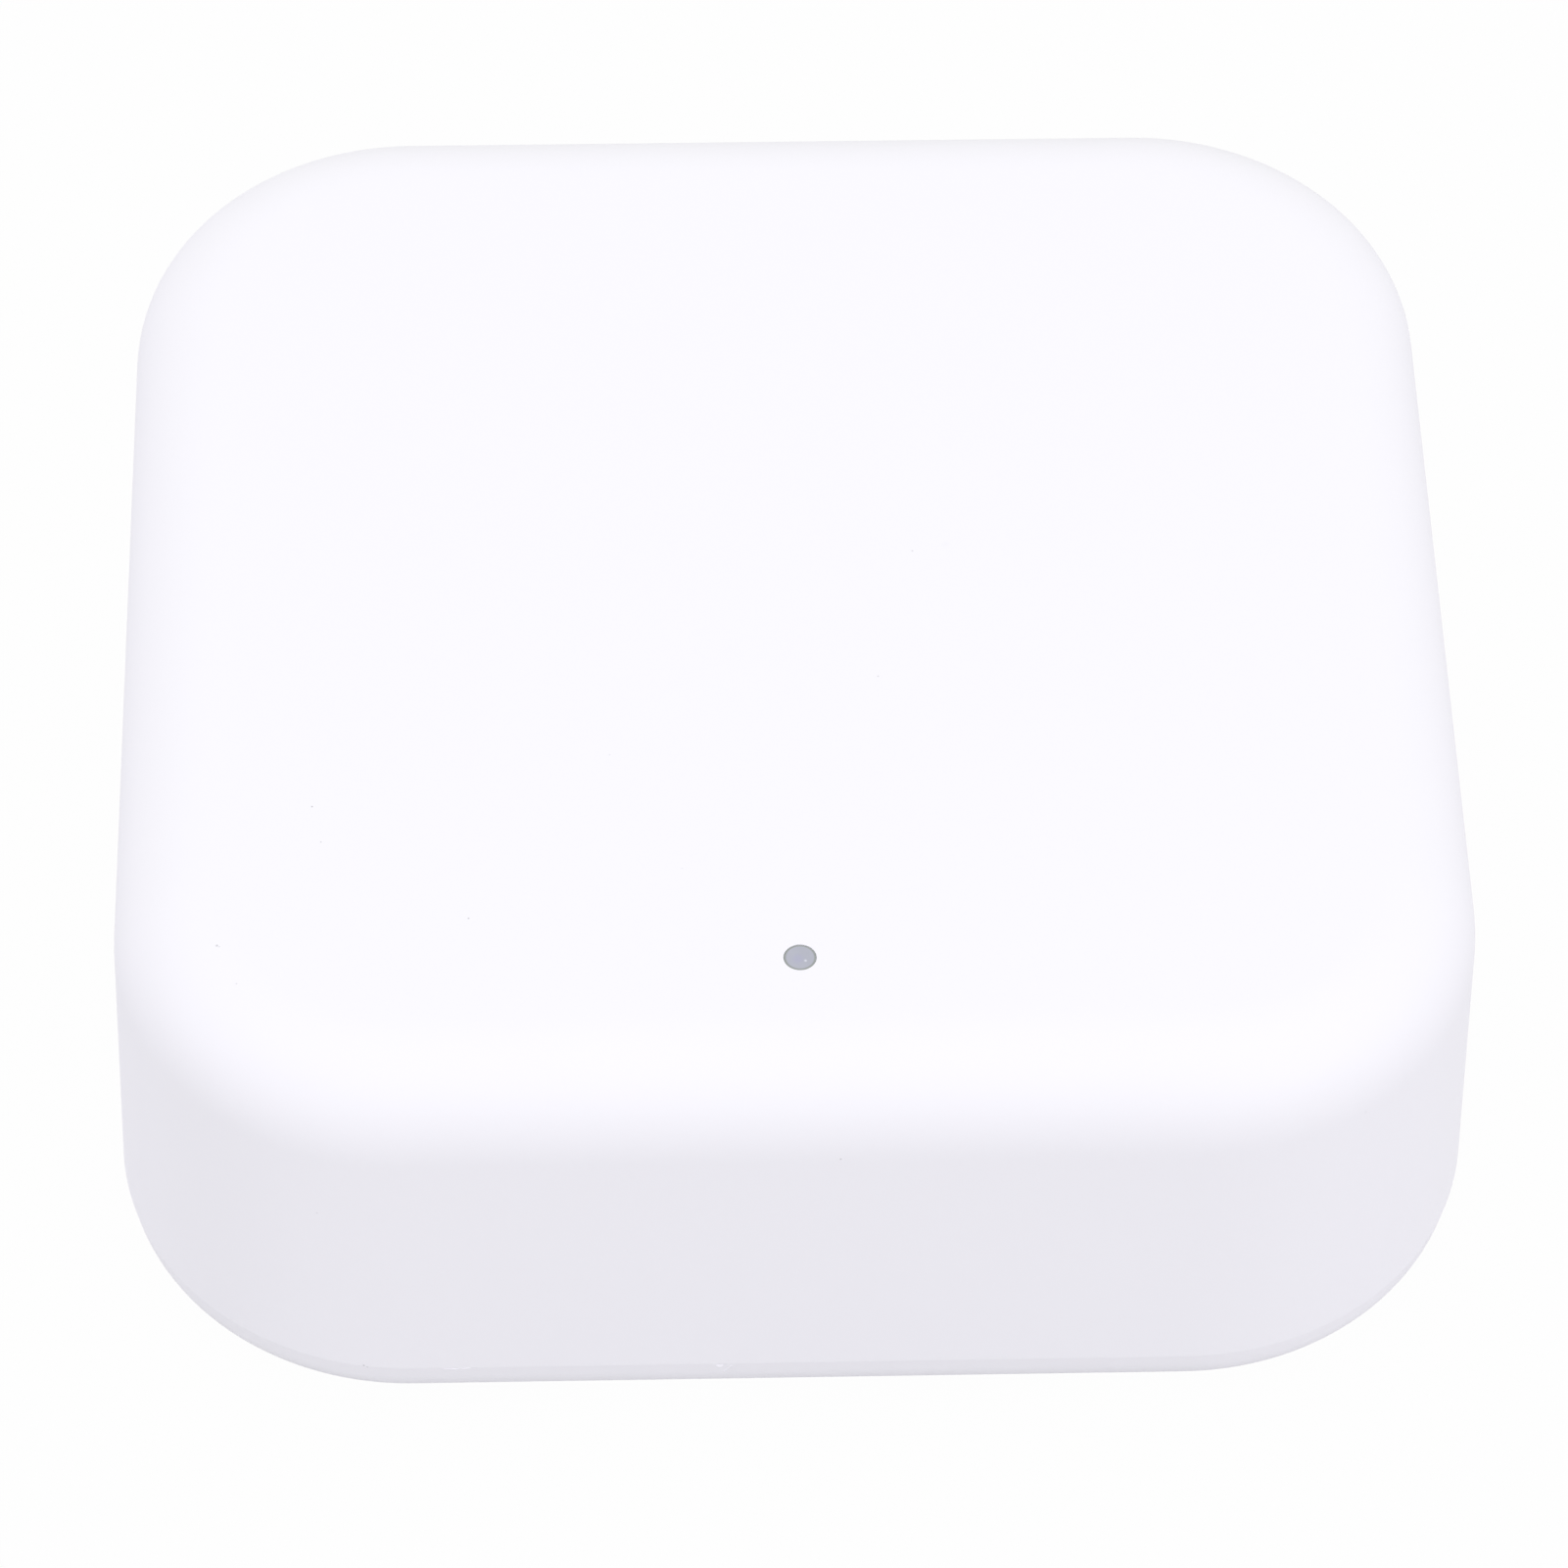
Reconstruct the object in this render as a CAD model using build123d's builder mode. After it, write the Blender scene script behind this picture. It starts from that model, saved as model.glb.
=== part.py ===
from build123d import *
import os
from math import radians, sqrt, tan

# Smart home hub: a low rounded-square gateway in white moulded plastic
# The top cover is a deep shell with drafted walls and a soft top edge. It stands on a shallow base
# plate whose rim turns under, and four rubber feet hide the screws that close the case from below.
# A clear pipe brings the light of one indicator on the circuit board to the top face, near the front.
# The back wall holds the power socket in a shallow pocket, and a small round reset key beside it.
# Sizes are in millimetres. X runs left to right, +Y to the back, +Z up, and the hub stands on Z = 0.

# Housing
body_width = 70.0
body_depth = 70.0
body_height = 25.0
corner_radius = 15.2
wall_draft = 1.6
wall_thickness = 2.0
top_edge_radius = 4.7
rim_height = 3.55
rim_taper = 8.0
rim_radius = 3.0
floor_thickness = 2.0

# Overlapping joint between the cover and the base plate
lip_thickness = 1.0
lip_height = 1.8
tongue_height = 1.6
joint_clearance = 0.1

# Rubber feet
foot_radius = 4.0
foot_standoff = 1.0
foot_recess_depth = 0.6
foot_clearance = 0.2
foot_edge_margin = 0.6

# Case screws and the corner bosses that they hold together
corner_boss_radius = 3.25
pillar_height = 2.2
case_screw_radius = 1.3
case_screw_length = 8.0
case_screw_head_radius = 2.3
case_screw_head_height = 1.6
case_pilot_radius = 1.1
screw_clearance = 0.15
head_clearance = 0.3
pilot_spare_depth = 1.5
drive_length_share = 1.2
drive_width_share = 0.35
drive_depth_share = 0.5

# Circuit board and the bosses that carry it
board_lift = 5.3
board_thickness = 1.6
board_gap = 2.0
board_corner_radius = 6.0
board_tab_reach = 1.0
board_tab_margin = 2.0
board_boss_radius = 2.3
board_rest_width = 3.0
board_boss_from_side = 11.0
board_boss_from_middle = 14.5
board_screw_radius = 1.0
board_screw_length = 6.0
board_screw_head_radius = 1.9
board_screw_head_height = 1.3
board_pilot_radius = 0.8
scallop_radius = 7.0
scallop_clearance = 0.8
scallop_tip_radius = 0.8
rib_thickness = 1.0
rib_start_above_board = 3.0
corner_rib_length = 4.5
floor_rib_height = 1.2

# Indicator: light pipe, its sleeve in the cover and the lamp on the board
indicator_from_front = 9.35
tip_radius = 0.72
tip_hole_radius = 0.82
tip_hole_depth = 1.0
tip_sink = 0.12
tip_crown = 0.08
pipe_radius = 1.5
pipe_clearance = 0.1
pipe_flange_radius = 2.3
pipe_flange_height = 0.8
sleeve_wall = 1.0
sleeve_length = 6.0
lamp_width = 3.5
lamp_depth = 2.8
lamp_height = 1.9
lamp_window_radius = 1.2
lamp_window_depth = 0.9
lamp_gap = 0.5
lamp_mark_chamfer = 0.5
lamp_terminal_width = 0.8
lamp_terminal_height = 0.9
lamp_terminal_thickness = 0.15

# Power socket in the back wall
socket_width = 8.94
socket_height = 3.26
socket_length = 7.35
socket_wall = 0.3
socket_hole_clearance = 0.2
socket_leg_width = 1.2
socket_leg_reach = 0.6
socket_leg_spacing = 3.6
socket_leg_from_back = 1.6
socket_leg_clearance = 0.3
socket_block_length = 2.0
tongue_width = 6.69
tongue_thickness = 0.7
tongue_setback = 0.7
contact_count = 12
contact_pitch = 0.5
contact_width = 0.27
contact_length = 3.4
contact_thickness = 0.06
contact_tail_length = 0.9
contact_tail_thickness = 0.15
pocket_width = 12.8
pocket_height = 7.0
pocket_corner_radius = 3.2
pocket_depth = 1.1
pocket_flare = 6.0

# Reset key in the back wall and the switch that it presses
key_from_middle = 11.0
key_radius = 2.0
key_clearance = 0.15
key_proud = 0.15
key_chamfer = 0.25
key_flange_radius = 2.7
key_flange_thickness = 0.8
key_stem_radius = 1.2
key_play = 0.1
switch_width = 6.0
switch_depth = 3.3
switch_height = 3.5
switch_well_radius = 1.4
switch_well_depth = 1.2
switch_frame_thickness = 0.2
switch_frame_flap = 2.4
plunger_radius = 0.8
plunger_reach = 1.0
plunger_flange_radius = 1.3
plunger_flange_thickness = 0.4
plunger_clearance = 0.1
plunger_from_board_edge = 0.2
spring_length = 2.3
spring_crest_length = 1.0
spring_width = 1.0
spring_height = 0.5
spring_thickness = 0.1
switch_terminal_width = 0.7
switch_terminal_reach = 0.8

# Wireless modules
module_board_thickness = 0.8
module_edge_gap = 0.5
module_notch_width = 0.7
module_notch_depth = 0.4
wifi_length = 24.0
wifi_width = 16.0
wifi_antenna_length = 6.3
wifi_side_notches = 8
wifi_notch_pitch = 2.0
bluetooth_length = 16.0
bluetooth_width = 11.6
bluetooth_antenna_length = 4.4
bluetooth_side_notches = 6
bluetooth_notch_pitch = 1.5
shield_height = 2.2
shield_wall = 0.2
shield_margin = 0.9
shield_corner_radius = 0.8
shield_notch_width = 1.0
shield_notch_height = 0.5
trace_width = 0.5
trace_thickness = 0.04
meander_turns = 5
meander_height = 3.6
chip_size = 5.0
chip_height = 0.85
antenna_block_length = 3.2
antenna_block_width = 1.6
antenna_block_height = 1.1

# Power parts and small chips
capacitor_radius = 3.15
capacitor_height = 5.4
capacitor_base_size = 6.6
capacitor_base_height = 0.9
capacitor_groove_depth = 0.3
capacitor_groove_lift = 1.2
capacitor_corner_cut = 1.2
capacitor_from_middle = 9.4
capacitor_from_rear = 6.0
regulator_width = 6.5
regulator_depth = 3.5
regulator_height = 1.6
regulator_lead_count = 3
regulator_lead_pitch = 2.3
regulator_lead_width = 0.7
regulator_tab_width = 3.0
regulator_from_rear = 14.0
regulator_from_middle = 14.0
inductor_size = 5.0
inductor_height = 2.4
inductor_flange_height = 0.6
inductor_drum_radius = 2.1
inductor_from_rear = 13.0
inductor_from_middle = 8.0
memory_width = 5.0
memory_depth = 3.9
memory_height = 1.5
memory_leads_per_side = 4
memory_lead_pitch = 1.27
memory_lead_width = 0.4
memory_from_front = 15.0
memory_from_middle = 3.0
crystal_width = 3.2
crystal_depth = 2.5
crystal_height = 0.75
crystal_corner_radius = 0.4
crystal_from_middle = 11.5
package_taper = 8.0
package_gap = 0.1
lead_thickness = 0.2
lead_level = 0.75
lead_bend = 0.35
lead_reach = 1.1
small_chip_length = 1.6
small_chip_width = 0.8
small_chip_height = 0.5
small_chip_end = 0.3
small_chip_pitch = 2.2
small_chips_per_row = 3
resistors_from_lamp = 4.5
resistors_from_memory = 9.0
capacitors_before_inductor = 10.0
capacitors_past_inductor = 4.0
corner_row_from_middle = 16.0
corner_row_from_front = 12.0

# Heights and places that follow from the sizes above. The rim's inset is from its top edge to the flat
# underside, and the feet sit as far out in its corners as their margin lets them.
draft_slope = tan(radians(wall_draft))
seam_level = foot_standoff + rim_height
top_level = foot_standoff + body_height
cover_height = top_level - seam_level
ceiling_level = top_level - wall_thickness
floor_level = foot_standoff + floor_thickness
pillar_top = floor_level + pillar_height
board_underside = floor_level + board_lift
board_top = board_underside + board_thickness
board_width = body_width - 2 * (wall_thickness + board_gap)
board_depth = body_depth - 2 * (wall_thickness + board_gap)
board_rear = board_depth / 2
board_front = -board_depth / 2
rim_inset = rim_height * tan(radians(rim_taper)) + rim_radius / tan(radians(45 + rim_taper / 2))
foot_reach = corner_radius - rim_inset - foot_radius - foot_clearance - foot_edge_margin
corner_x = body_width / 2 - corner_radius + foot_reach / sqrt(2)
corner_y = body_depth / 2 - corner_radius + foot_reach / sqrt(2)
corner_places = [(corner_x, corner_y), (-corner_x, corner_y), (-corner_x, -corner_y), (corner_x, -corner_y)]
board_boss_x = body_width / 2 - board_boss_from_side
board_boss_places = [(x, y) for x in (-board_boss_x, board_boss_x)
                     for y in (-board_boss_from_middle, board_boss_from_middle)]
board_screw_places = [(x, y) for x, y in board_boss_places if x * y > 0]
board_rest_places = [(x, y) for x, y in board_boss_places if x * y < 0]
indicator_y = indicator_from_front - body_depth / 2
sleeve_end = ceiling_level - sleeve_length
sleeve_bore_radius = pipe_radius + pipe_clearance
sleeve_radius = sleeve_bore_radius + sleeve_wall
socket_z = board_top + socket_height / 2
key_z = board_top + switch_height / 2
case_screw_seat = foot_standoff + foot_recess_depth + case_screw_head_height + head_clearance
case_pilot_end = case_screw_seat + case_screw_length + pilot_spare_depth
board_pilot_end = board_underside + board_screw_length + pilot_spare_depth
seam_plane = Plane.XY.offset(seam_level)


def outer_wall(z):
    """Distance from the middle to the back wall's outer face at height z."""
    return body_depth / 2 - (z - seam_level) * draft_slope


def inner_wall(z):
    """Distance from the middle to the back wall's inner face at height z."""
    return outer_wall(z) - wall_thickness


def housing_outline(inset):
    """Draws the housing's rounded square at the seam, inset from its outer edge, in the open sketch."""
    RectangleRounded(body_width - 2 * inset, body_depth - 2 * inset, corner_radius - inset)


pocket_floor = outer_wall(socket_z) - pocket_depth
socket_mouth = pocket_floor
socket_back = socket_mouth - socket_length
key_face = outer_wall(key_z) + key_proud
key_flange_front = inner_wall(key_z + key_flange_radius) - key_play
plunger_tip = board_rear - plunger_from_board_edge
switch_face = plunger_tip - plunger_reach
switch_housing_face = switch_face - switch_frame_thickness

# Planes that look along +Y, with their X to the left and their Y up, as seen by someone behind the hub
key_view = Plane(origin=(key_from_middle, 0, key_z), x_dir=(-1, 0, 0), z_dir=(0, 1, 0))
socket_view = Plane(origin=(0, 0, socket_z), x_dir=(-1, 0, 0), z_dir=(0, 1, 0))


# Top cover: its outer form and the space inside it first, as two blocks that lean in with the walls
with BuildPart() as cover_form:
    with BuildSketch(seam_plane):
        housing_outline(0)
    extrude(amount=cover_height)
    draft(cover_form.faces().filter_by(Axis.Z, reverse=True), seam_plane, wall_draft)
    fillet(cover_form.edges().group_by(Axis.Z)[-1], top_edge_radius)

with BuildPart() as cover_space:
    with BuildSketch(seam_plane):
        housing_outline(wall_thickness)
    extrude(amount=cover_height - wall_thickness)
    draft(cover_space.faces().filter_by(Axis.Z, reverse=True), seam_plane, wall_draft)
    chamfer(cover_space.edges().group_by(Axis.Z)[-1], top_edge_radius - wall_thickness)

# Bosses, ribs and the light pipe's sleeve that hang from the ceiling, trimmed to the outer form
with BuildPart() as cover_bosses:
    with BuildSketch(Plane.XY.offset(pillar_top)):
        with Locations(*corner_places):
            Circle(corner_boss_radius)
    extrude(amount=ceiling_level - pillar_top)
    with BuildSketch(Plane.XY.offset(board_top)):
        with Locations(*board_screw_places):
            Circle(board_boss_radius)
        with Locations(*board_rest_places):
            Rectangle(board_rest_width, board_rest_width)
    extrude(amount=ceiling_level - board_top)
    with BuildSketch(Plane.XY.offset(sleeve_end)):
        with Locations((0, indicator_y)):
            Circle(sleeve_radius)
        with Locations((0, indicator_y - indicator_from_front / 2)):
            Rectangle(rib_thickness, indicator_from_front)
    extrude(amount=sleeve_length)
    with BuildSketch(Plane.XY.offset(board_top + rib_start_above_board)):
        for x, y in corner_places:
            side = 1 if x > 0 else -1
            end = 1 if y > 0 else -1
            with Locations((x + side * corner_rib_length / 2, y + end * corner_rib_length / 2)):
                Rectangle(sqrt(2) * corner_rib_length, rib_thickness, rotation=45 * side * end)
        for x, y in board_boss_places:
            side = 1 if x > 0 else -1
            with Locations((x + side * board_boss_from_side / 2, y)):
                Rectangle(board_boss_from_side, rib_thickness)
    extrude(amount=ceiling_level - board_top - rib_start_above_board)
    add(cover_form.part, mode=Mode.INTERSECT)

with BuildPart() as top_cover:
    add(cover_form.part)
    add(cover_space.part, mode=Mode.SUBTRACT)
    add(cover_bosses.part)
    # Step inside the rim that the base plate's tongue fits
    with BuildSketch(seam_plane):
        housing_outline(lip_thickness)
        with Locations(*corner_places):
            Circle(corner_boss_radius, mode=Mode.SUBTRACT)
    extrude(amount=lip_height, mode=Mode.SUBTRACT)
    # Pilot holes for the case screws and the board screws
    with BuildSketch(Plane.XY.offset(pillar_top)):
        with Locations(*corner_places):
            Circle(case_pilot_radius)
    extrude(amount=case_pilot_end - pillar_top, mode=Mode.SUBTRACT)
    with BuildSketch(Plane.XY.offset(board_top)):
        with Locations(*board_screw_places):
            Circle(board_pilot_radius)
    extrude(amount=board_pilot_end - board_top, mode=Mode.SUBTRACT)
    # Stepped hole for the light pipe
    with BuildSketch(Plane.XY.offset(sleeve_end)):
        with Locations((0, indicator_y)):
            Circle(sleeve_bore_radius)
    extrude(amount=top_level - tip_hole_depth - sleeve_end, mode=Mode.SUBTRACT)
    with BuildSketch(Plane.XY.offset(sleeve_end)):
        with Locations((0, indicator_y)):
            Circle(tip_hole_radius)
    extrude(amount=top_level - sleeve_end, mode=Mode.SUBTRACT)
    # Pocket and opening for the power socket
    with BuildSketch(socket_view.offset(pocket_floor)):
        RectangleRounded(pocket_width, pocket_height, pocket_corner_radius)
    extrude(amount=2 * pocket_depth, taper=-pocket_flare, mode=Mode.SUBTRACT)
    with BuildSketch(socket_view.offset(pocket_floor - wall_thickness)):
        SlotOverall(socket_width + 2 * socket_hole_clearance, socket_height + 2 * socket_hole_clearance)
    extrude(amount=wall_thickness, mode=Mode.SUBTRACT)
    # Hole for the reset key
    with BuildSketch(key_view.offset(key_flange_front)):
        Circle(key_radius + key_clearance)
    extrude(amount=2 * wall_thickness, mode=Mode.SUBTRACT)
top_cover.part.label = "top_cover"


# Base plate: a shallow tray whose rim turns under to the feet
with BuildPart() as base_plate:
    with BuildSketch(Plane.XY.offset(foot_standoff)):
        housing_outline(0)
    extrude(amount=rim_height)
    draft(base_plate.faces().filter_by(Axis.Z, reverse=True), seam_plane, -rim_taper)
    fillet(base_plate.edges().group_by(Axis.Z)[0], rim_radius)
    # Tongue that fits inside the cover's lip
    with BuildSketch(seam_plane):
        housing_outline(lip_thickness + joint_clearance)
    extrude(amount=tongue_height)
    # Inside of the tray
    with BuildSketch(Plane.XY.offset(floor_level)):
        housing_outline(wall_thickness)
    extrude(amount=seam_level + tongue_height - floor_level, mode=Mode.SUBTRACT)
    # Pillars under the corner bosses, and the ribs that join them
    with BuildSketch(Plane.XY.offset(floor_level)):
        with Locations(*corner_places):
            Circle(corner_boss_radius)
    extrude(amount=pillar_height)
    with BuildSketch(Plane.XY.offset(floor_level)):
        with GridLocations(0, 2 * corner_y, 1, 2):
            Rectangle(2 * corner_x, rib_thickness)
        with GridLocations(2 * corner_x, 0, 2, 1):
            Rectangle(rib_thickness, 2 * corner_y)
        Rectangle(2 * corner_x, rib_thickness)
        Rectangle(rib_thickness, 2 * corner_y)
    extrude(amount=floor_rib_height)
    # Screw holes, the pockets for their heads and the recesses for the feet
    with BuildSketch(Plane.XY.offset(foot_standoff)):
        with Locations(*corner_places):
            Circle(foot_radius + foot_clearance)
    extrude(amount=foot_recess_depth, mode=Mode.SUBTRACT)
    with BuildSketch(Plane.XY.offset(foot_standoff)):
        with Locations(*corner_places):
            Circle(case_screw_head_radius + head_clearance)
    extrude(amount=foot_recess_depth + case_screw_head_height + head_clearance, mode=Mode.SUBTRACT)
    with BuildSketch(Plane.XY.offset(foot_standoff)):
        with Locations(*corner_places):
            Circle(case_screw_radius + screw_clearance)
    extrude(amount=pillar_top - foot_standoff, mode=Mode.SUBTRACT)
base_plate.part.label = "base_plate"


# Four rubber feet, stuck into the recesses over the screw heads
feet = {}
foot_names = {"foot_rear_right": corner_places[0], "foot_rear_left": corner_places[1],
              "foot_front_left": corner_places[2], "foot_front_right": corner_places[3]}
for foot_name, place in foot_names.items():
    with BuildPart() as foot:
        with BuildSketch():
            with Locations(place):
                Circle(foot_radius)
        extrude(amount=foot_standoff + foot_recess_depth)
    foot.part.label = foot_name
    feet[foot_name] = foot.part


def plain_screw(radius, length, head_radius, head_height):
    """A screw pointing up, the underside of its round head at Z = 0, with a crossed drive recess."""
    slot_width = drive_width_share * head_radius
    slot_length = drive_length_share * head_radius
    slot_depth = drive_depth_share * head_height
    with BuildPart() as screw:
        with BuildSketch():
            Circle(head_radius)
        extrude(amount=-head_height)
        with BuildSketch():
            Circle(radius)
        extrude(amount=length)
        with BuildSketch(Plane.XY.offset(-head_height)):
            Rectangle(slot_length, slot_width)
            Rectangle(slot_width, slot_length)
        extrude(amount=slot_depth, mode=Mode.SUBTRACT)
    return screw.part


# Screws that close the case, driven up through the base plate into the corner bosses
case_screw = plain_screw(case_screw_radius, case_screw_length, case_screw_head_radius,
                         case_screw_head_height)
with BuildPart() as case_screws:
    with Locations(*[(x, y, case_screw_seat) for x, y in corner_places]):
        add(case_screw)
case_screws.part.label = "case_screws"

# Two screws that hold the board up against its bosses
board_screw = plain_screw(board_screw_radius, board_screw_length, board_screw_head_radius,
                          board_screw_head_height)
with BuildPart() as board_screws:
    with Locations(*[(x, y, board_underside) for x, y in board_screw_places]):
        add(board_screw)
board_screws.part.label = "board_screws"


# Light pipe: a stepped clear rod with a stop flange and a crowned tip
pipe_foot = board_top + lamp_height + lamp_gap
pipe_shoulder = top_level - tip_hole_depth - pipe_clearance
pipe_top = top_level - tip_sink
flange_level = sleeve_end - pipe_flange_height
with BuildPart() as light_pipe:
    with BuildSketch(Plane.XZ.offset(-indicator_y)):
        with BuildLine():
            Polyline((0, pipe_top), (0, pipe_foot), (pipe_radius, pipe_foot),
                     (pipe_radius, flange_level), (pipe_flange_radius, flange_level),
                     (pipe_flange_radius, sleeve_end),
                     (pipe_radius, sleeve_end), (pipe_radius, pipe_shoulder),
                     (tip_radius, pipe_shoulder), (tip_radius, pipe_top - tip_crown))
            TangentArc((0, pipe_top), (tip_radius, pipe_top - tip_crown), tangent=(1, 0))
        make_face()
    revolve(axis=Axis((0, indicator_y, 0), (0, 0, 1)))
light_pipe.part.label = "light_pipe"


# Reset key: a round button, a flange that stops it inside the wall, and a stem down to the switch
with BuildPart() as reset_key:
    with BuildSketch(key_view.offset(plunger_tip)):
        Circle(key_stem_radius)
    extrude(amount=key_flange_front - plunger_tip)
    with BuildSketch(key_view.offset(key_flange_front - key_flange_thickness)):
        Circle(key_flange_radius)
    extrude(amount=key_flange_thickness)
    with BuildSketch(key_view.offset(key_flange_front)):
        Circle(key_radius)
    extrude(amount=key_face - key_flange_front)
    chamfer(reset_key.edges().group_by(Axis.Y)[-1], key_chamfer)
reset_key.part.label = "reset_key"


# Switch housing, with the well that holds the snap spring
switch_middle_y = switch_housing_face - switch_depth / 2
with BuildPart() as switch_housing:
    with BuildSketch(key_view.offset(switch_housing_face - switch_depth)):
        Rectangle(switch_width - 2 * switch_frame_thickness, switch_height)
    extrude(amount=switch_depth)
    with BuildSketch(key_view.offset(switch_housing_face - switch_well_depth)):
        Circle(switch_well_radius)
    extrude(amount=switch_well_depth, mode=Mode.SUBTRACT)
switch_housing.part.label = "switch_housing"

# Steel frame: a front plate with a hole for the plunger, and two flaps that clasp the housing
with BuildPart() as switch_frame:
    with BuildSketch(key_view.offset(switch_housing_face)):
        Rectangle(switch_width, switch_height)
        Circle(plunger_radius + plunger_clearance, mode=Mode.SUBTRACT)
    extrude(amount=switch_frame_thickness)
    with BuildSketch(key_view.offset(switch_housing_face - switch_frame_flap)):
        with GridLocations(switch_width - switch_frame_thickness, 0, 2, 1):
            Rectangle(switch_frame_thickness, switch_height)
    extrude(amount=switch_frame_flap)
switch_frame.part.label = "switch_frame"

# Plunger: a short pin with a flange that stays behind the frame
plunger_flange_face = switch_housing_face - plunger_clearance
with BuildPart() as switch_plunger:
    with BuildSketch(key_view.offset(plunger_flange_face - plunger_flange_thickness)):
        Circle(plunger_flange_radius)
    extrude(amount=plunger_flange_thickness)
    with BuildSketch(key_view.offset(plunger_flange_face)):
        Circle(plunger_radius)
    extrude(amount=plunger_tip - plunger_flange_face)
switch_plunger.part.label = "switch_plunger"

# Snap spring: a thin steel leaf bowed out towards the plunger
spring_crest = plunger_flange_face - plunger_flange_thickness
spring_foot = spring_crest - spring_height
with BuildPart() as switch_spring:
    with BuildSketch(Plane.XY.offset(key_z)):
        with BuildLine():
            Polyline(*[(key_from_middle + x, y - spring_thickness / 2) for x, y in
                       [(-spring_length / 2, spring_foot), (-spring_crest_length / 2, spring_crest),
                        (spring_crest_length / 2, spring_crest), (spring_length / 2, spring_foot)]])
        trace(line_width=spring_thickness)
    extrude(amount=spring_width / 2, both=True)
switch_spring.part.label = "switch_spring"

# Four solder terminals that stand out at the sides of the switch
with BuildPart() as switch_terminals:
    with BuildSketch(Plane.XY.offset(board_top)):
        with Locations((key_from_middle, switch_middle_y)):
            with GridLocations(switch_width + switch_terminal_reach, switch_depth / 2, 2, 2):
                Rectangle(switch_terminal_reach, switch_terminal_width)
    extrude(amount=lead_thickness)
switch_terminals.part.label = "switch_terminals"


# Circuit board: scalloped at the corners round the bosses, with a tab under the power socket
scallop_shift = (scallop_radius - corner_boss_radius - scallop_clearance) / sqrt(2)
scallop_places = [(x + scallop_shift * (1 if x > 0 else -1), y + scallop_shift * (1 if y > 0 else -1))
                  for x, y in corner_places]
antenna_notch_end = board_width / 2 - module_edge_gap - wifi_antenna_length
leg_x = (socket_width - socket_wall) / 2
leg_rows = (socket_back + socket_leg_from_back, socket_back + socket_leg_from_back + socket_leg_spacing)
leg_places = [(x, y) for x in (-leg_x, leg_x) for y in leg_rows]
with BuildPart() as main_board:
    with BuildSketch(Plane.XY.offset(board_underside)) as board_outline:
        RectangleRounded(board_width, board_depth, board_corner_radius)
        with Locations(*scallop_places):
            Circle(scallop_radius, mode=Mode.SUBTRACT)
        fillet(board_outline.vertices().group_by(Axis.X)[0], scallop_tip_radius)
        fillet(board_outline.vertices().group_by(Axis.X)[-1], scallop_tip_radius)
        with Locations((0, board_rear)):
            Rectangle(socket_width + 2 * board_tab_margin, 2 * board_tab_reach)
        with Locations((-board_width / 2, 0)):
            Rectangle(board_width - 2 * antenna_notch_end, wifi_width + 2 * module_edge_gap,
                      mode=Mode.SUBTRACT)
        with Locations(*board_screw_places):
            Circle(board_screw_radius + screw_clearance, mode=Mode.SUBTRACT)
        with Locations(*leg_places):
            Rectangle(socket_wall + 2 * socket_leg_clearance,
                      socket_leg_width + 2 * socket_leg_clearance, mode=Mode.SUBTRACT)
    extrude(amount=board_thickness)
main_board.part.label = "main_board"


# Power socket: a drawn steel shell with four legs through the board
with BuildPart() as socket_shell:
    with BuildSketch(socket_view.offset(socket_back)):
        SlotOverall(socket_width, socket_height)
        SlotOverall(socket_width - 2 * socket_wall, socket_height - 2 * socket_wall,
                    mode=Mode.SUBTRACT)
    extrude(amount=socket_length)
    with BuildSketch(Plane.XY.offset(board_underside - socket_leg_reach)):
        with Locations(*leg_places):
            Rectangle(socket_wall, socket_leg_width)
    extrude(amount=socket_z - board_underside + socket_leg_reach)
socket_shell.part.label = "socket_shell"

# Insulator: a block that fills the back of the shell, and the tongue that the plug slides over
with BuildPart() as socket_insulator:
    with BuildSketch(socket_view.offset(socket_back)):
        SlotOverall(socket_width - 2 * socket_wall, socket_height - 2 * socket_wall)
    extrude(amount=socket_block_length)
    with BuildSketch(socket_view.offset(socket_back)):
        Rectangle(tongue_width, tongue_thickness)
    extrude(amount=socket_length - tongue_setback)
    tongue_tip = socket_insulator.faces().sort_by(Axis.Y)[-1]
    fillet(tongue_tip.edges().filter_by(Axis.Z), tongue_thickness / 2)
socket_insulator.part.label = "socket_insulator"

# Contacts on both faces of the tongue, and their tails on the board behind the shell
contact_middle_y = socket_back + socket_block_length + contact_length / 2
with BuildPart() as socket_contacts:
    for level in (socket_z + tongue_thickness / 2, socket_z - tongue_thickness / 2 - contact_thickness):
        with BuildSketch(Plane.XY.offset(level)):
            with Locations((0, contact_middle_y)):
                with GridLocations(contact_pitch, 0, contact_count, 1):
                    Rectangle(contact_width, contact_length)
        extrude(amount=contact_thickness)
    with BuildSketch(Plane.XY.offset(board_top)):
        with Locations((0, socket_back - contact_tail_length / 2)):
            with GridLocations(contact_pitch, 0, contact_count, 1):
                Rectangle(contact_width, contact_tail_length)
    extrude(amount=contact_tail_thickness)
socket_contacts.part.label = "socket_contacts"


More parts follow.
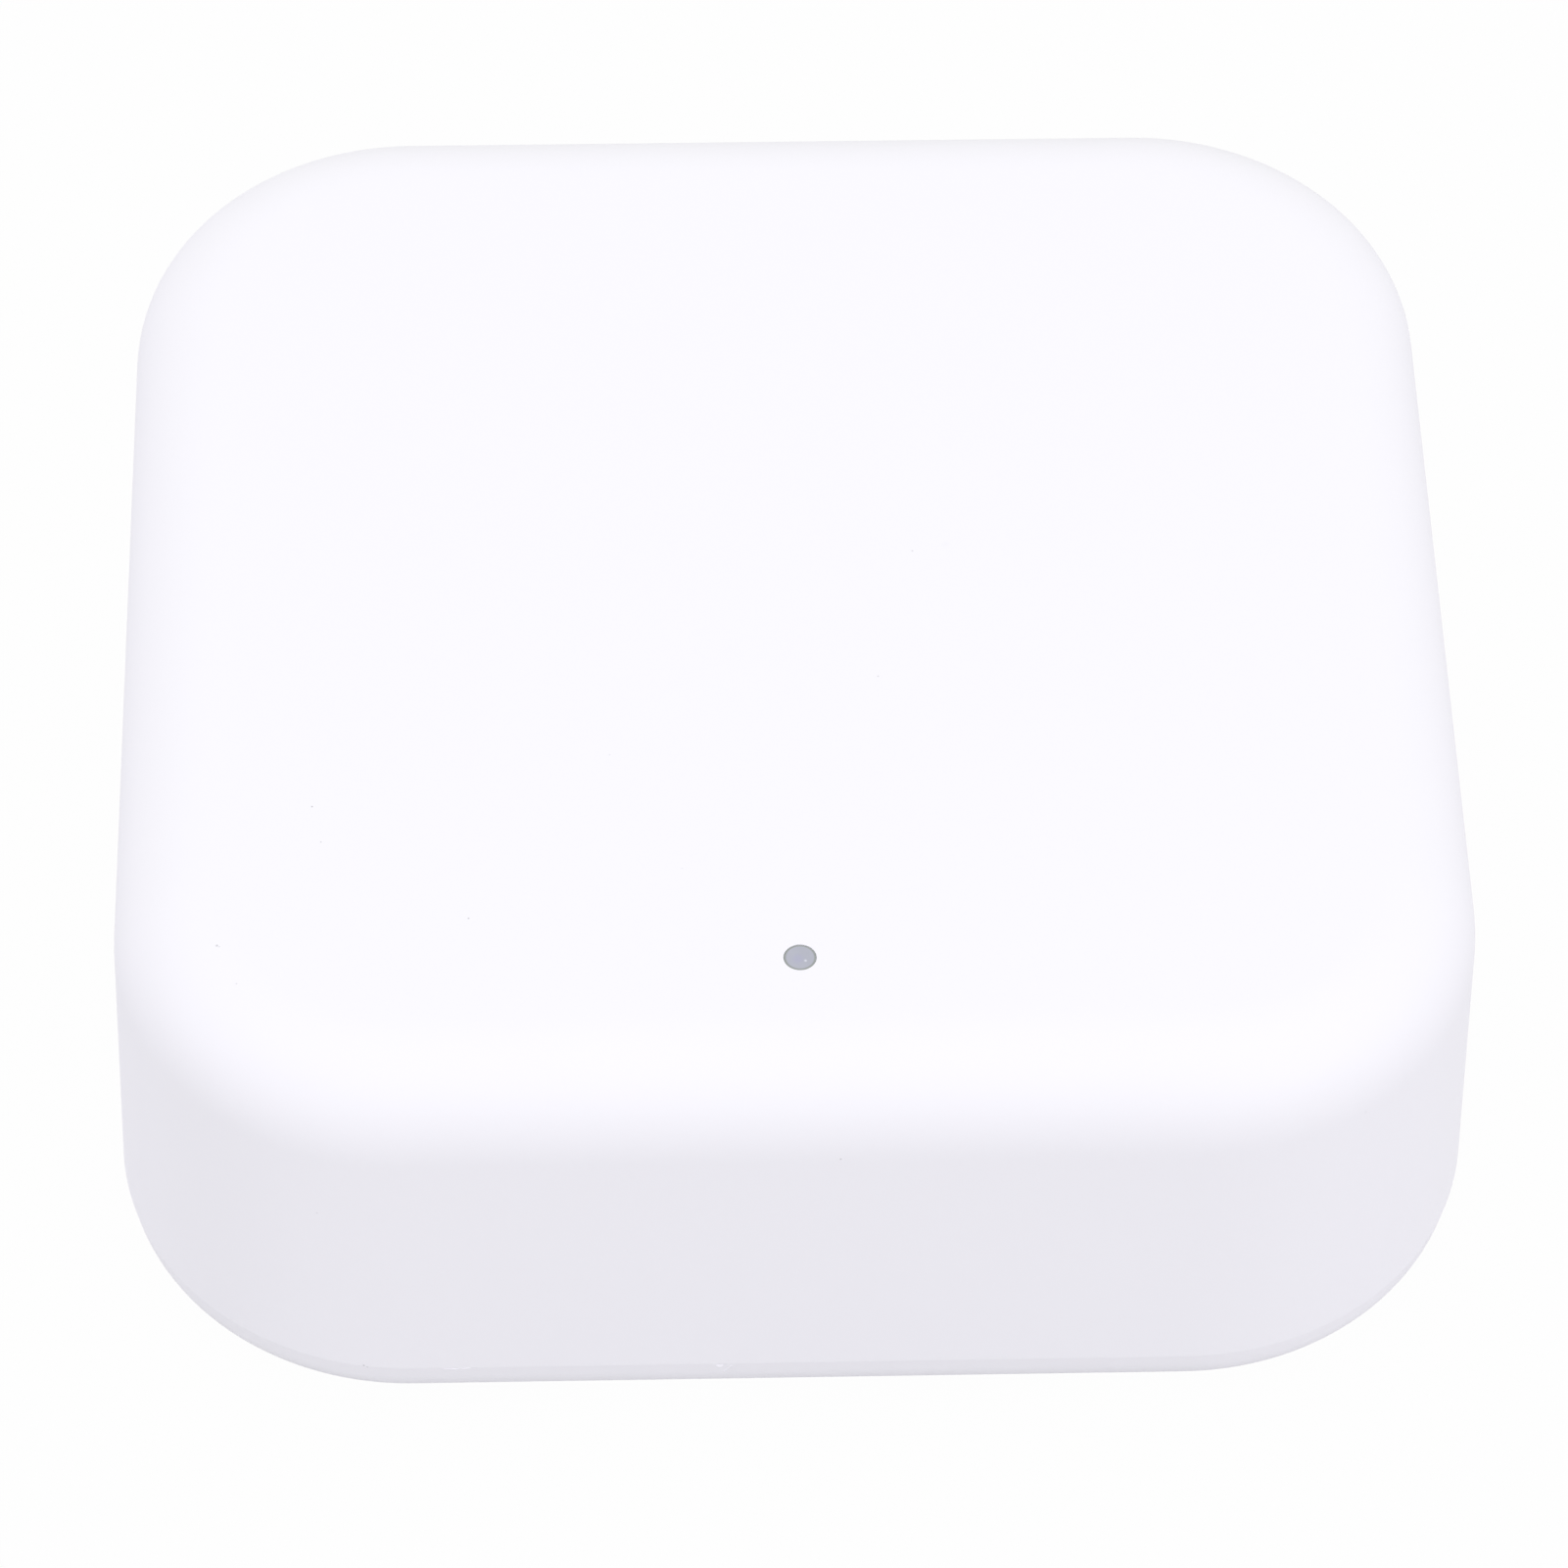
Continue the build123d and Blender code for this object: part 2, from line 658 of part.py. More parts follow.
# Indicator lamp: a white package, its clear window and four terminals
with BuildPart() as lamp_package:
    with BuildSketch(Plane.XY.offset(board_top)):
        with Locations((0, indicator_y)):
            Rectangle(lamp_width, lamp_depth)
    extrude(amount=lamp_height)
    chamfer(lamp_package.edges().filter_by(Axis.Z).sort_by(Axis.X)[0], lamp_mark_chamfer)
    with BuildSketch(Plane.XY.offset(board_top + lamp_height)):
        with Locations((0, indicator_y)):
            Circle(lamp_window_radius)
    extrude(amount=-lamp_window_depth, taper=package_taper, mode=Mode.SUBTRACT)
lamp_package.part.label = "lamp_package"

with BuildPart() as lamp_window:
    with BuildSketch(Plane.XY.offset(board_top + lamp_height)):
        with Locations((0, indicator_y)):
            Circle(lamp_window_radius)
    extrude(amount=-lamp_window_depth, taper=package_taper)
lamp_window.part.label = "lamp_window"

with BuildPart() as lamp_terminals:
    with BuildSketch(Plane.XY.offset(board_top)):
        with Locations((0, indicator_y)):
            with GridLocations(lamp_depth / 2, lamp_depth + lamp_terminal_thickness, 2, 2):
                Rectangle(lamp_terminal_width, lamp_terminal_thickness)
    extrude(amount=lamp_terminal_height)
lamp_terminals.part.label = "lamp_terminals"


def module_board(plane, length, width, notches, pitch, label):
    """A module's own board on its plane, the antenna end at X = 0, with contact notches down its sides."""
    row_middle = length - notches * pitch / 2
    with BuildPart() as board:
        with BuildSketch(plane):
            with Locations((length / 2, 0)):
                Rectangle(length, width)
            with Locations((row_middle, 0)):
                with GridLocations(pitch, width, notches, 2):
                    Rectangle(module_notch_width, 2 * module_notch_depth, mode=Mode.SUBTRACT)
        extrude(amount=module_board_thickness)
    board.part.label = label
    return board.part


def module_shield(plane, start, length, width, label):
    """A drawn steel lid over a module's chips, from X = start, open below and notched along its rim."""
    base = plane.offset(module_board_thickness)
    inner_radius = shield_corner_radius - shield_wall
    with BuildPart() as shield:
        with BuildSketch(base):
            with Locations((start + length / 2, 0)):
                RectangleRounded(length, width, shield_corner_radius)
        extrude(amount=shield_height)
        with BuildSketch(base):
            with Locations((start + length / 2, 0)):
                RectangleRounded(length - 2 * shield_wall, width - 2 * shield_wall, inner_radius)
        extrude(amount=shield_height - shield_wall, mode=Mode.SUBTRACT)
        with BuildSketch(base):
            with Locations((start + length / 2, 0)):
                with GridLocations(length / 3, 0, 2, 1):
                    Rectangle(shield_notch_width, width)
                with GridLocations(0, width / 3, 1, 2):
                    Rectangle(length, shield_notch_width)
        extrude(amount=shield_notch_height, mode=Mode.SUBTRACT)
    shield.part.label = label
    return shield.part


def radio_chip(plane, x, label):
    """The flat square chip on a module's board, in the middle of its width."""
    with BuildPart() as chip:
        with BuildSketch(plane.offset(module_board_thickness)):
            with Locations((x, 0)):
                Rectangle(chip_size, chip_size)
        extrude(amount=chip_height)
    chip.part.label = label
    return chip.part


# Wi-Fi module on the left, its printed antenna over the notch in the board's edge
wifi_plane = Plane(origin=(module_edge_gap - board_width / 2, 0, board_top))
wifi_shield_length = wifi_length - wifi_antenna_length - shield_margin
wifi_board = module_board(wifi_plane, wifi_length, wifi_width, wifi_side_notches, wifi_notch_pitch,
                          "wifi_board")
wifi_shield = module_shield(wifi_plane, wifi_antenna_length, wifi_shield_length,
                            wifi_width - 2 * shield_margin, "wifi_shield")
wifi_chip = radio_chip(wifi_plane, wifi_antenna_length + wifi_shield_length / 2, "wifi_chip")

# Printed antenna on the Wi-Fi module: one line that runs to and fro across the free end of the board
meander_step = (wifi_width - 2 * shield_margin - trace_width) / (2 * meander_turns)
meander_near = wifi_antenna_length - shield_margin
meander_far = meander_near - meander_height
meander_points = []
for turn in range(2 * meander_turns + 1):
    y = meander_step * (turn - meander_turns)
    ends = (meander_near, meander_far) if turn % 2 == 0 else (meander_far, meander_near)
    meander_points += [(ends[0], y), (ends[1], y)]
with BuildPart() as wifi_antenna:
    with BuildSketch(wifi_plane.offset(module_board_thickness)):
        with BuildLine():
            Polyline(*meander_points)
        trace(line_width=trace_width)
    extrude(amount=trace_thickness)
wifi_antenna.part.label = "wifi_antenna"

# Bluetooth module on the right, turned so that its antenna looks outwards
bluetooth_plane = Plane(origin=(board_width / 2 - module_edge_gap, 0, board_top), x_dir=(-1, 0, 0),
                        z_dir=(0, 0, 1))
bluetooth_shield_length = bluetooth_length - bluetooth_antenna_length - shield_margin
bluetooth_board = module_board(bluetooth_plane, bluetooth_length, bluetooth_width,
                               bluetooth_side_notches, bluetooth_notch_pitch, "bluetooth_board")
bluetooth_shield = module_shield(bluetooth_plane, bluetooth_antenna_length, bluetooth_shield_length,
                                 bluetooth_width - 2 * shield_margin, "bluetooth_shield")
bluetooth_chip = radio_chip(bluetooth_plane, bluetooth_antenna_length + bluetooth_shield_length / 2,
                            "bluetooth_chip")

# Ceramic antenna block at the Bluetooth module's outer end
with BuildPart() as bluetooth_antenna:
    with BuildSketch(bluetooth_plane.offset(module_board_thickness)):
        with Locations((bluetooth_antenna_length / 2, 0)):
            Rectangle(antenna_block_width, antenna_block_length)
    extrude(amount=antenna_block_height)
bluetooth_antenna.part.label = "bluetooth_antenna"


# Reservoir capacitor: a crimped aluminium can on a square base with two cut corners
capacitor_place = (-capacitor_from_middle, board_rear - capacitor_from_rear)
can_foot = board_top + capacitor_base_height
can_top = board_top + capacitor_height
groove_level = can_foot + capacitor_groove_lift
with BuildPart() as capacitor_can:
    with BuildSketch(Plane(origin=(*capacitor_place, 0), x_dir=(1, 0, 0), z_dir=(0, -1, 0))):
        with BuildLine():
            Polyline((0, can_foot), (0, can_top), (capacitor_radius, can_top),
                     (capacitor_radius, groove_level + capacitor_groove_depth),
                     (capacitor_radius - capacitor_groove_depth, groove_level),
                     (capacitor_radius, groove_level - capacitor_groove_depth),
                     (capacitor_radius, can_foot), (0, can_foot))
        make_face()
    revolve(axis=Axis((*capacitor_place, 0), (0, 0, 1)))
capacitor_can.part.label = "capacitor_can"

with BuildPart() as capacitor_base:
    with BuildSketch(Plane.XY.offset(board_top)):
        with Locations(capacitor_place):
            Rectangle(capacitor_base_size, capacitor_base_size)
    extrude(amount=capacitor_base_height)
    chamfer(capacitor_base.edges().filter_by(Axis.Z).group_by(Axis.Y)[0], capacitor_corner_cut)
capacitor_base.part.label = "capacitor_base"


def package(width, depth, height, x, y, label):
    """A moulded chip package, widest at its middle, standing just clear of the board."""
    half_height = (height - package_gap) / 2
    middle = Plane.XY.offset(board_top + package_gap + half_height)
    with BuildPart() as body:
        with BuildSketch(middle):
            with Locations((x, y)):
                Rectangle(width, depth)
        extrude(amount=half_height, taper=package_taper)
        mirror(about=middle)
    body.part.label = label
    return body.part


def lead_row(x, y, side, count, pitch, width):
    """A row of leads along X, each bent out of the package's edge at y and down to the board."""
    with BuildPart() as leads:
        for place in range(count):
            lead_x = x + pitch * (place - (count - 1) / 2)
            across = Plane(origin=(lead_x, y, board_top), x_dir=(0, side, 0), z_dir=(side, 0, 0))
            with BuildSketch(across):
                with BuildLine():
                    Polyline((0, lead_level), (lead_bend, lead_level),
                             (lead_bend, lead_thickness / 2), (lead_reach, lead_thickness / 2))
                trace(line_width=lead_thickness)
            extrude(amount=width / 2, both=True)
    return leads.part


# Voltage regulator with three leads in front and its wide cooling tab behind
regulator_x = -regulator_from_middle
regulator_y = board_rear - regulator_from_rear
regulator_body = package(regulator_width, regulator_depth, regulator_height, regulator_x, regulator_y,
                         "regulator_body")
with BuildPart() as regulator_leads:
    add(lead_row(regulator_x, regulator_y - regulator_depth / 2, -1, regulator_lead_count,
                 regulator_lead_pitch, regulator_lead_width))
    add(lead_row(regulator_x, regulator_y + regulator_depth / 2, 1, 1, regulator_lead_pitch,
                 regulator_tab_width))
regulator_leads.part.label = "regulator_leads"

# Memory chip with four leads on each side
memory_y = board_front + memory_from_front
memory_chip = package(memory_width, memory_depth, memory_height, memory_from_middle, memory_y,
                      "memory_chip")
with BuildPart() as memory_leads:
    for side in (-1, 1):
        add(lead_row(memory_from_middle, memory_y + side * memory_depth / 2, side,
                     memory_leads_per_side, memory_lead_pitch, memory_lead_width))
memory_leads.part.label = "memory_leads"

# Power inductor: two square flanges round a wound drum
inductor_y = board_rear - inductor_from_rear
with BuildPart() as power_inductor:
    for level in (board_top, board_top + inductor_height - inductor_flange_height):
        with BuildSketch(Plane.XY.offset(level)):
            with Locations((inductor_from_middle, inductor_y)):
                Rectangle(inductor_size, inductor_size)
        extrude(amount=inductor_flange_height)
    with BuildSketch(Plane.XY.offset(board_top)):
        with Locations((inductor_from_middle, inductor_y)):
            Circle(inductor_drum_radius)
    extrude(amount=inductor_height)
power_inductor.part.label = "power_inductor"

# Timing crystal: a low metal can in line with the memory chip
with BuildPart() as crystal:
    with BuildSketch(Plane.XY.offset(board_top)):
        with Locations((crystal_from_middle, memory_y)):
            RectangleRounded(crystal_width, crystal_depth, crystal_corner_radius)
    extrude(amount=crystal_height)
crystal.part.label = "crystal"


# Small resistors and capacitors: bodies in two groups, and the metal ends of all of them
resistor_rows = [(-resistors_from_lamp, indicator_y), (resistors_from_lamp, indicator_y),
                 (memory_from_middle - resistors_from_memory, memory_y)]
capacitor_rows = [(inductor_from_middle - capacitors_before_inductor, inductor_y),
                  (inductor_from_middle + capacitors_past_inductor,
                   inductor_y + capacitors_past_inductor),
                  (-corner_row_from_middle, board_front + corner_row_from_front)]


def small_chips(rows, along, length, height, label):
    """A chip body or end at each place of each row, shifted along X from the place's middle."""
    with BuildPart() as chips:
        with BuildSketch(Plane.XY.offset(board_top)):
            for x, y in rows:
                for shift in along:
                    with Locations((x + shift, y)):
                        with GridLocations(0, small_chip_pitch, 1, small_chips_per_row):
                            Rectangle(length, small_chip_width)
        extrude(amount=height)
    chips.part.label = label
    return chips.part


chip_body_length = small_chip_length - 2 * small_chip_end
chip_end_shift = (small_chip_length - small_chip_end) / 2
chip_resistors = small_chips(resistor_rows, (0,), chip_body_length, small_chip_height,
                             "chip_resistors")
chip_capacitors = small_chips(capacitor_rows, (0,), chip_body_length, small_chip_width,
                              "chip_capacitors")
chip_ends = small_chips(resistor_rows + capacitor_rows, (-chip_end_shift, chip_end_shift),
                        small_chip_end, small_chip_height, "chip_ends")


# One file for each piece
pieces = [top_cover.part, base_plate.part, *feet.values(), case_screws.part, board_screws.part,
          light_pipe.part, reset_key.part, switch_housing.part, switch_frame.part, switch_plunger.part,
          switch_spring.part, switch_terminals.part, main_board.part, socket_shell.part,
          socket_insulator.part, socket_contacts.part, lamp_package.part, lamp_window.part,
          lamp_terminals.part, wifi_board, wifi_shield, wifi_antenna.part, wifi_chip,
          bluetooth_board, bluetooth_shield, bluetooth_antenna.part, bluetooth_chip,
          capacitor_can.part, capacitor_base.part, regulator_body, regulator_leads.part,
          memory_chip, memory_leads.part, power_inductor.part, crystal.part, chip_resistors,
          chip_capacitors, chip_ends]
os.makedirs("parts", exist_ok=True)
for piece in pieces:
    export_step(piece, f"parts/{piece.label}.step")
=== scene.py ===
import math
import bmesh
import bpy
import numpy as np
from mathutils import Matrix, Vector


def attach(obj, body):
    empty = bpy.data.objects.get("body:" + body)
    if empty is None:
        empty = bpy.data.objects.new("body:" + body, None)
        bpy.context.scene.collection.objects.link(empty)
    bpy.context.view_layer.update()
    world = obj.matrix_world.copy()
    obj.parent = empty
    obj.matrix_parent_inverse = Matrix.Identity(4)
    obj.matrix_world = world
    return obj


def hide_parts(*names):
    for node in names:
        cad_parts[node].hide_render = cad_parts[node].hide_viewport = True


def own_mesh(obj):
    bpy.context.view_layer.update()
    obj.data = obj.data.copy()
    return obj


# Looks of a smart home hub: a low rounded square in white moulded plastic, round the frame of its parts.
# X runs left to right, +Y to the back, +Z up, and the hub stands on Z = 0. Blender counts in metres.
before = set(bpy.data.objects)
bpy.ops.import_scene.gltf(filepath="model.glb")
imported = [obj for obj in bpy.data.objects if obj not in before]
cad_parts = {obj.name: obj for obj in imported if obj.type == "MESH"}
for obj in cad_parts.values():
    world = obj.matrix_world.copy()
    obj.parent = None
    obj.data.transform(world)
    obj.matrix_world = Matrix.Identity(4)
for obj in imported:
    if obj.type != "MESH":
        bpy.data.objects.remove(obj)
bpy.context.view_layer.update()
mm = 0.001


# Camera: a long lens that looks down on the hub from the front and a little from the left
view_azimuth = math.radians(-2.191)
view_elevation = math.radians(49.697)
view_roll = math.radians(0.892)
view_distance = 398.37 * mm
view_middle = Vector((0, 0, 14 * mm))
view_drop = 3.22 * mm
sensor_width = 36.0
picture_pixels = 1601
focal_pixels = 7653.5


def place_camera():
    """Aims the camera from its angles: level right and up axes, turned together about the line of sight."""
    back = Vector((math.sin(view_azimuth) * math.cos(view_elevation),
                   -math.cos(view_azimuth) * math.cos(view_elevation), math.sin(view_elevation)))
    level = Vector((math.cos(view_azimuth), math.sin(view_azimuth), 0))
    upright = back.cross(level)
    right = level * math.cos(view_roll) + upright * math.sin(view_roll)
    up = upright * math.cos(view_roll) - level * math.sin(view_roll)
    spot = view_middle + back * view_distance - up * view_drop
    lens = bpy.data.cameras.new("camera")
    lens.sensor_width = sensor_width
    lens.lens = sensor_width * focal_pixels / picture_pixels
    lens.clip_start = 10 * mm
    lens.clip_end = 20
    camera = bpy.data.objects.new("camera", lens)
    camera.matrix_world = Matrix.Translation(spot) @ Matrix((right, up, back)).transposed().to_4x4()
    bpy.context.scene.collection.objects.link(camera)
    bpy.context.scene.camera = camera


place_camera()


# Sizes and places that several pieces share, in millimetres. The skin is how far the fine surfaces lie
# inside the parts' own faces.
skin = 0.03
half_width = 35.0
corner_radius = 15.2
seam_level = 4.55
top_level = 26.0
wall_angle = math.radians(1.6)
wall_lean = math.tan(wall_angle)
indicator_y = -25.65
lamp_spot = (0.0, indicator_y)
capacitor_spot = (-9.4, 25.0)
capacitor_radius = 3.15
socket_level = 11.53
key_spot = (11.0, 0, 11.65)
corner_spots = [(24.957, 24.957), (-24.957, 24.957), (-24.957, -24.957), (24.957, -24.957)]


# Shader maths: an expression on a node's number adds the nodes that work it out
class Number:
    """A socket of one finish. Arithmetic on it adds Math nodes and gives their result."""

    def __init__(self, finish, socket):
        self.finish = finish
        self.socket = socket

    def __add__(self, other):
        return self.finish.maths("ADD", self, other)

    def __radd__(self, other):
        return self.finish.maths("ADD", other, self)

    def __sub__(self, other):
        return self.finish.maths("SUBTRACT", self, other)

    def __rsub__(self, other):
        return self.finish.maths("SUBTRACT", other, self)

    def __mul__(self, other):
        return self.finish.maths("MULTIPLY", self, other)

    def __rmul__(self, other):
        return self.finish.maths("MULTIPLY", other, self)

    def __pow__(self, other):
        return self.finish.maths("POWER", self, other)

    def __lt__(self, other):
        return self.finish.maths("LESS_THAN", self, other)

    def __gt__(self, other):
        return self.finish.maths("GREATER_THAN", self, other)


class Finish:
    """A material with one Principled shader. Uniform values are set on the shader's own sockets."""

    def __init__(self, name, **uniform):
        self.material = bpy.data.materials.new(name)
        self.material.use_nodes = True
        self.tree = self.material.node_tree
        self.tree.nodes.clear()
        self.shader = self.tree.nodes.new("ShaderNodeBsdfPrincipled")
        output = self.tree.nodes.new("ShaderNodeOutputMaterial")
        self.tree.links.new(self.shader.outputs[0], output.inputs["Surface"])
        for socket, value in uniform.items():
            self.shader.inputs[socket.replace("_", " ")].default_value = value
        self.place = self.node("ShaderNodeTexCoord", output="Object")

    def node(self, kind, settings=None, output=0, **inputs):
        """Adds a node: its settings first, then its sockets, each given a value or a link. A socket goes by
        its name, or by an s and its number. Gives one output."""
        made = self.tree.nodes.new(kind)
        for setting, value in (settings or {}).items():
            setattr(made, setting, value)
        for socket, value in inputs.items():
            key = int(socket[1:]) if socket[1:].isdigit() else socket.replace("_", " ")
            self.feed(made.inputs[key], value)
        return Number(self, made.outputs[output])

    def feed(self, socket, value):
        """Links a number or a colour of this finish to a socket, or sets the socket's own value."""
        if isinstance(value, Number):
            self.tree.links.new(value.socket, socket)
        else:
            socket.default_value = value

    def maths(self, operation, *values):
        """A Math node on one or two values."""
        return self.node("ShaderNodeMath", {"operation": operation},
                         **{f"s{place}": value for place, value in enumerate(values)})

    def clamp(self, value):
        """The value, held between 0 and 1."""
        return self.node("ShaderNodeClamp", Value=value)

    def mix(self, share, first, second):
        """The colour between two colours, at a share from 0 to 1."""
        return self.node("ShaderNodeMix", {"data_type": "RGBA"}, output=2, s0=share, s6=first, s7=second)

    def noise(self, size, detail=2.0, roughness=0.5, place=None):
        """Cloudy noise, from 0 to 1, whose features are about the given size."""
        return self.node("ShaderNodeTexNoise", Vector=place or self.place, Scale=1 / size, Detail=detail,
                         Roughness=roughness)

    def band(self, value, low, high):
        """A soft step of the value: 0 below the low mark, 1 above the high one."""
        return self.node("ShaderNodeMapRange", {"interpolation_type": "SMOOTHSTEP"}, Value=value, s1=low,
                         s2=high)

    def stripes(self, value, pitch, low, high):
        """Stripes over the value: a soft step, between two marks, of how far it is from the middle of its
        stretch, as a share of the pitch."""
        phase = self.maths("FRACT", value * (1 / pitch))
        return self.band(self.maths("ABSOLUTE", phase - 0.5), low, high)

    def axis(self, letter):
        """One coordinate of the place on the piece, in metres."""
        return self.node("ShaderNodeSeparateXYZ", output=letter, Vector=self.place)

    def from_spot(self, spot):
        """How far the place is to the right of a spot and behind it. The spot is in millimetres."""
        return self.axis("X") - spot[0] * mm, self.axis("Y") - spot[1] * mm

    def near(self, spot, radius, softness):
        """A round mask that is 1 at a spot and fades out at the radius, both in millimetres."""
        gap = self.node("ShaderNodeVectorMath", {"operation": "DISTANCE"}, output="Value", s0=self.place,
                        s1=[part * mm for part in spot])
        return 1 - self.band(gap, radius * mm * (1 - softness), radius * mm)

    def marks(self, places):
        """The mask of several small round marks, each (x, y, z, radius, strength) in millimetres."""
        total = 0.0
        for *spot, radius, strength in places:
            total = total + self.near(spot, radius, 0.8) * strength
        return self.clamp(total)

    def bump(self, height, depth):
        """Raises the surface by a height from 0 to 1 times the depth."""
        self.feed(self.shader.inputs["Normal"], self.node("ShaderNodeBump", Height=height, Distance=depth))

    def paint(self, **inputs):
        """Links what varies over the surface to the shader's sockets."""
        for socket, value in inputs.items():
            self.feed(self.shader.inputs[socket.replace("_", " ")], value)


def tone(red, green, blue):
    """A colour given as it is seen, from 0 to 1, in the linear values that a shader takes."""
    seen = np.array([red, green, blue])
    linear = np.where(seen <= 0.04045, seen / 12.92, ((seen + 0.055) / 1.055) ** 2.4)
    return (*linear.tolist(), 1.0)


def shade(colour, share):
    """A linear colour made lighter or darker."""
    return tuple(min(1.0, part * share) for part in colour[:3]) + (1.0,)


# Finishes
dust_tone = tone(0.42, 0.40, 0.44)


def moulded_white(name, colour, grain_depth, specks=()):
    """White plastic with a very fine grain and a faint cloudiness. Specks are dust, darker than the plastic,
    each (x, y, z, radius, strength) in millimetres."""
    finish = Finish(name, Specular_IOR_Level=0.4)
    grain = finish.noise(0.22 * mm, detail=3.0, roughness=0.6)
    clouds = finish.noise(9 * mm, detail=1.0)
    body = finish.mix(clouds, shade(colour, 0.998), shade(colour, 1.001))
    if specks:
        body = finish.mix(finish.marks(specks), body, dust_tone)
    finish.paint(Base_Color=body, Roughness=0.5 + grain * 0.1)
    finish.bump(grain, grain_depth)
    return finish


# Dust that lies on the cover and along the seam
cover_specks = [(-28.98, -24.36, 25.92, 0.10, 0.35), (-28.86, -24.44, 25.93, 0.07, 0.2),
                (-24.38, -15.44, 25.97, 0.07, 0.5), (-23.9, -17.78, 25.97, 0.06, 0.35),
                (-9.31, -12.25, 25.97, 0.06, 0.2), (6.60, 1.43, 25.97, 0.08, 0.25),
                (8.35, 1.88, 25.97, 0.35, 0.02), (4.52, -7.20, 25.97, 0.08, 0.25),
                (-16.47, -22.87, 25.97, 0.08, 0.35), (-27.96, -26.75, 25.85, 0.07, 0.2),
                (-5.76, -19.82, 25.97, 0.06, 0.15), (1.83, -34.51, 20.98, 0.08, 0.35),
                (-24.23, -33.96, 16.48, 0.07, 0.2), (28.06, -31.97, 20.88, 0.07, 0.2)]
seam_specks = [(-22.27, -34.76, 4.60, 0.08, 0.45), (-22.09, -34.70, 4.42, 0.08, 0.5)]

white = tone(0.972, 0.969, 0.992)
cover_white = moulded_white("cover_white", white, 0.0015 * mm, cover_specks + seam_specks)
base_white = moulded_white("base_white", white, 0.002 * mm, seam_specks)
key_white = moulded_white("key_white", tone(0.955, 0.952, 0.972), 0.0015 * mm)


def grained(name, colour, roughness, grain_size, grain_depth, **uniform):
    """A finish with a fine grain in tone and relief, and wider patches that differ in gloss."""
    finish = Finish(name, **uniform)
    grain = finish.noise(grain_size, detail=3.0)
    patches = finish.noise(12 * grain_size, detail=2.0)
    finish.paint(Base_Color=finish.mix(grain, shade(colour, 0.9), shade(colour, 1.06)),
                 Roughness=roughness - 0.05 + patches * 0.12 + grain * 0.06)
    finish.bump(grain, grain_depth)
    return finish


def rolled_metal(name, colour, roughness, streak_size, streak_depth, along):
    """Sheet metal with fine drawn streaks along one axis, and cloudy patches where it has been handled."""
    finish = Finish(name, Metallic=1.0)
    squeeze = [1.0, 1.0, 1.0]
    squeeze["XYZ".index(along)] = 0.04
    stretched = finish.node("ShaderNodeVectorMath", {"operation": "MULTIPLY"}, s0=finish.place, s1=squeeze)
    streaks = finish.noise(streak_size, detail=4.0, place=stretched)
    patches = finish.noise(3 * mm, detail=3.0)
    finish.paint(Base_Color=finish.mix(patches, shade(colour, 0.88), shade(colour, 1.05)),
                 Roughness=roughness + patches * 0.14 + streaks * 0.1)
    finish.bump(streaks, streak_depth)
    return finish


def rubber(name, colour):
    """Soft dark rubber with a coarse matt skin and pale dust caught in it."""
    finish = Finish(name, Specular_IOR_Level=0.35)
    grain = finish.noise(0.18 * mm, detail=4.0, roughness=0.65)
    dust = finish.band(finish.noise(1.4 * mm, detail=5.0, roughness=0.7), 0.56, 0.78)
    finish.paint(Base_Color=finish.mix(dust * 0.4, colour, tone(0.52, 0.51, 0.50)),
                 Roughness=0.72 + dust * 0.2)
    finish.bump(grain, 0.03 * mm)
    return finish


def clear_lens(name, colour):
    """Frosted clear plastic that shows grey: cloudy, with a violet tinge in its middle, a small painted
    highlight where a lamp would glint, and a grey ring of painted shade for the dark gap round it, by the
    distance from its axis."""
    finish = Finish(name, Roughness=0.12, Specular_IOR_Level=0.5)
    clouds = finish.noise(0.7 * mm, detail=2.0)
    body = finish.mix(clouds, shade(colour, 0.93), shade(colour, 1.07))
    violet = finish.near((-0.1, -25.75, 25.95), 0.45, 0.9)
    body = finish.mix(violet * 0.5, body, tone(0.69, 0.69, 0.80))
    # Painted highlight: a small pale spot that stands for a lamp's glint on the crowned tip
    painted_glint = finish.near((0.27, -25.87, 25.95), 0.11, 0.9)
    body = finish.mix(painted_glint * 0.8, body, tone(0.88, 0.89, 0.93))
    # Painted shade: a grey ring near the lens's edge that stands for the dark gap between the lens and its
    # hole
    across, ahead = finish.from_spot(lamp_spot)
    painted_gap_shade = finish.band((across * across + ahead * ahead) ** 0.5, 0.68 * mm, 0.73 * mm)
    finish.paint(Base_Color=finish.mix(painted_gap_shade, body, tone(0.62, 0.64, 0.635)))
    finish.bump(clouds, 0.004 * mm)
    return finish


def solder_mask(name, colour, track_pitch, board_part):
    """Laminate under green or blue lacquer: tracks of copper show through as paler lines, and each part of
    the board, a cell, has its own direction of tracks or an unbroken plane of copper."""
    finish = Finish(name, Specular_IOR_Level=0.5)
    cells = finish.node("ShaderNodeTexVoronoi", {"distance": "CHEBYCHEV"}, output="Color",
                        Vector=finish.place, Scale=1 / board_part, Randomness=0.8)
    cell = finish.node("ShaderNodeSeparateColor", output=0, Color=cells)
    kind = finish.node("ShaderNodeSeparateColor", output=1, Color=cells)
    turned = kind > 0.5
    way = finish.axis("X") * turned + finish.axis("Y") * (1 - turned)
    line = finish.stripes(way, track_pitch, 0.19, 0.25)
    tracks = finish.maths("MAXIMUM", line * (cell > 0.35), cell > 0.8)
    weave = finish.noise(0.25 * mm, detail=3.0)
    body = finish.mix(tracks, colour, shade(colour, 1.9))
    finish.paint(Base_Color=finish.mix(weave * 0.25, body, shade(colour, 0.6)),
                 Roughness=0.3 + weave * 0.12)
    finish.bump(tracks + weave * 0.1, 0.012 * mm)
    return finish


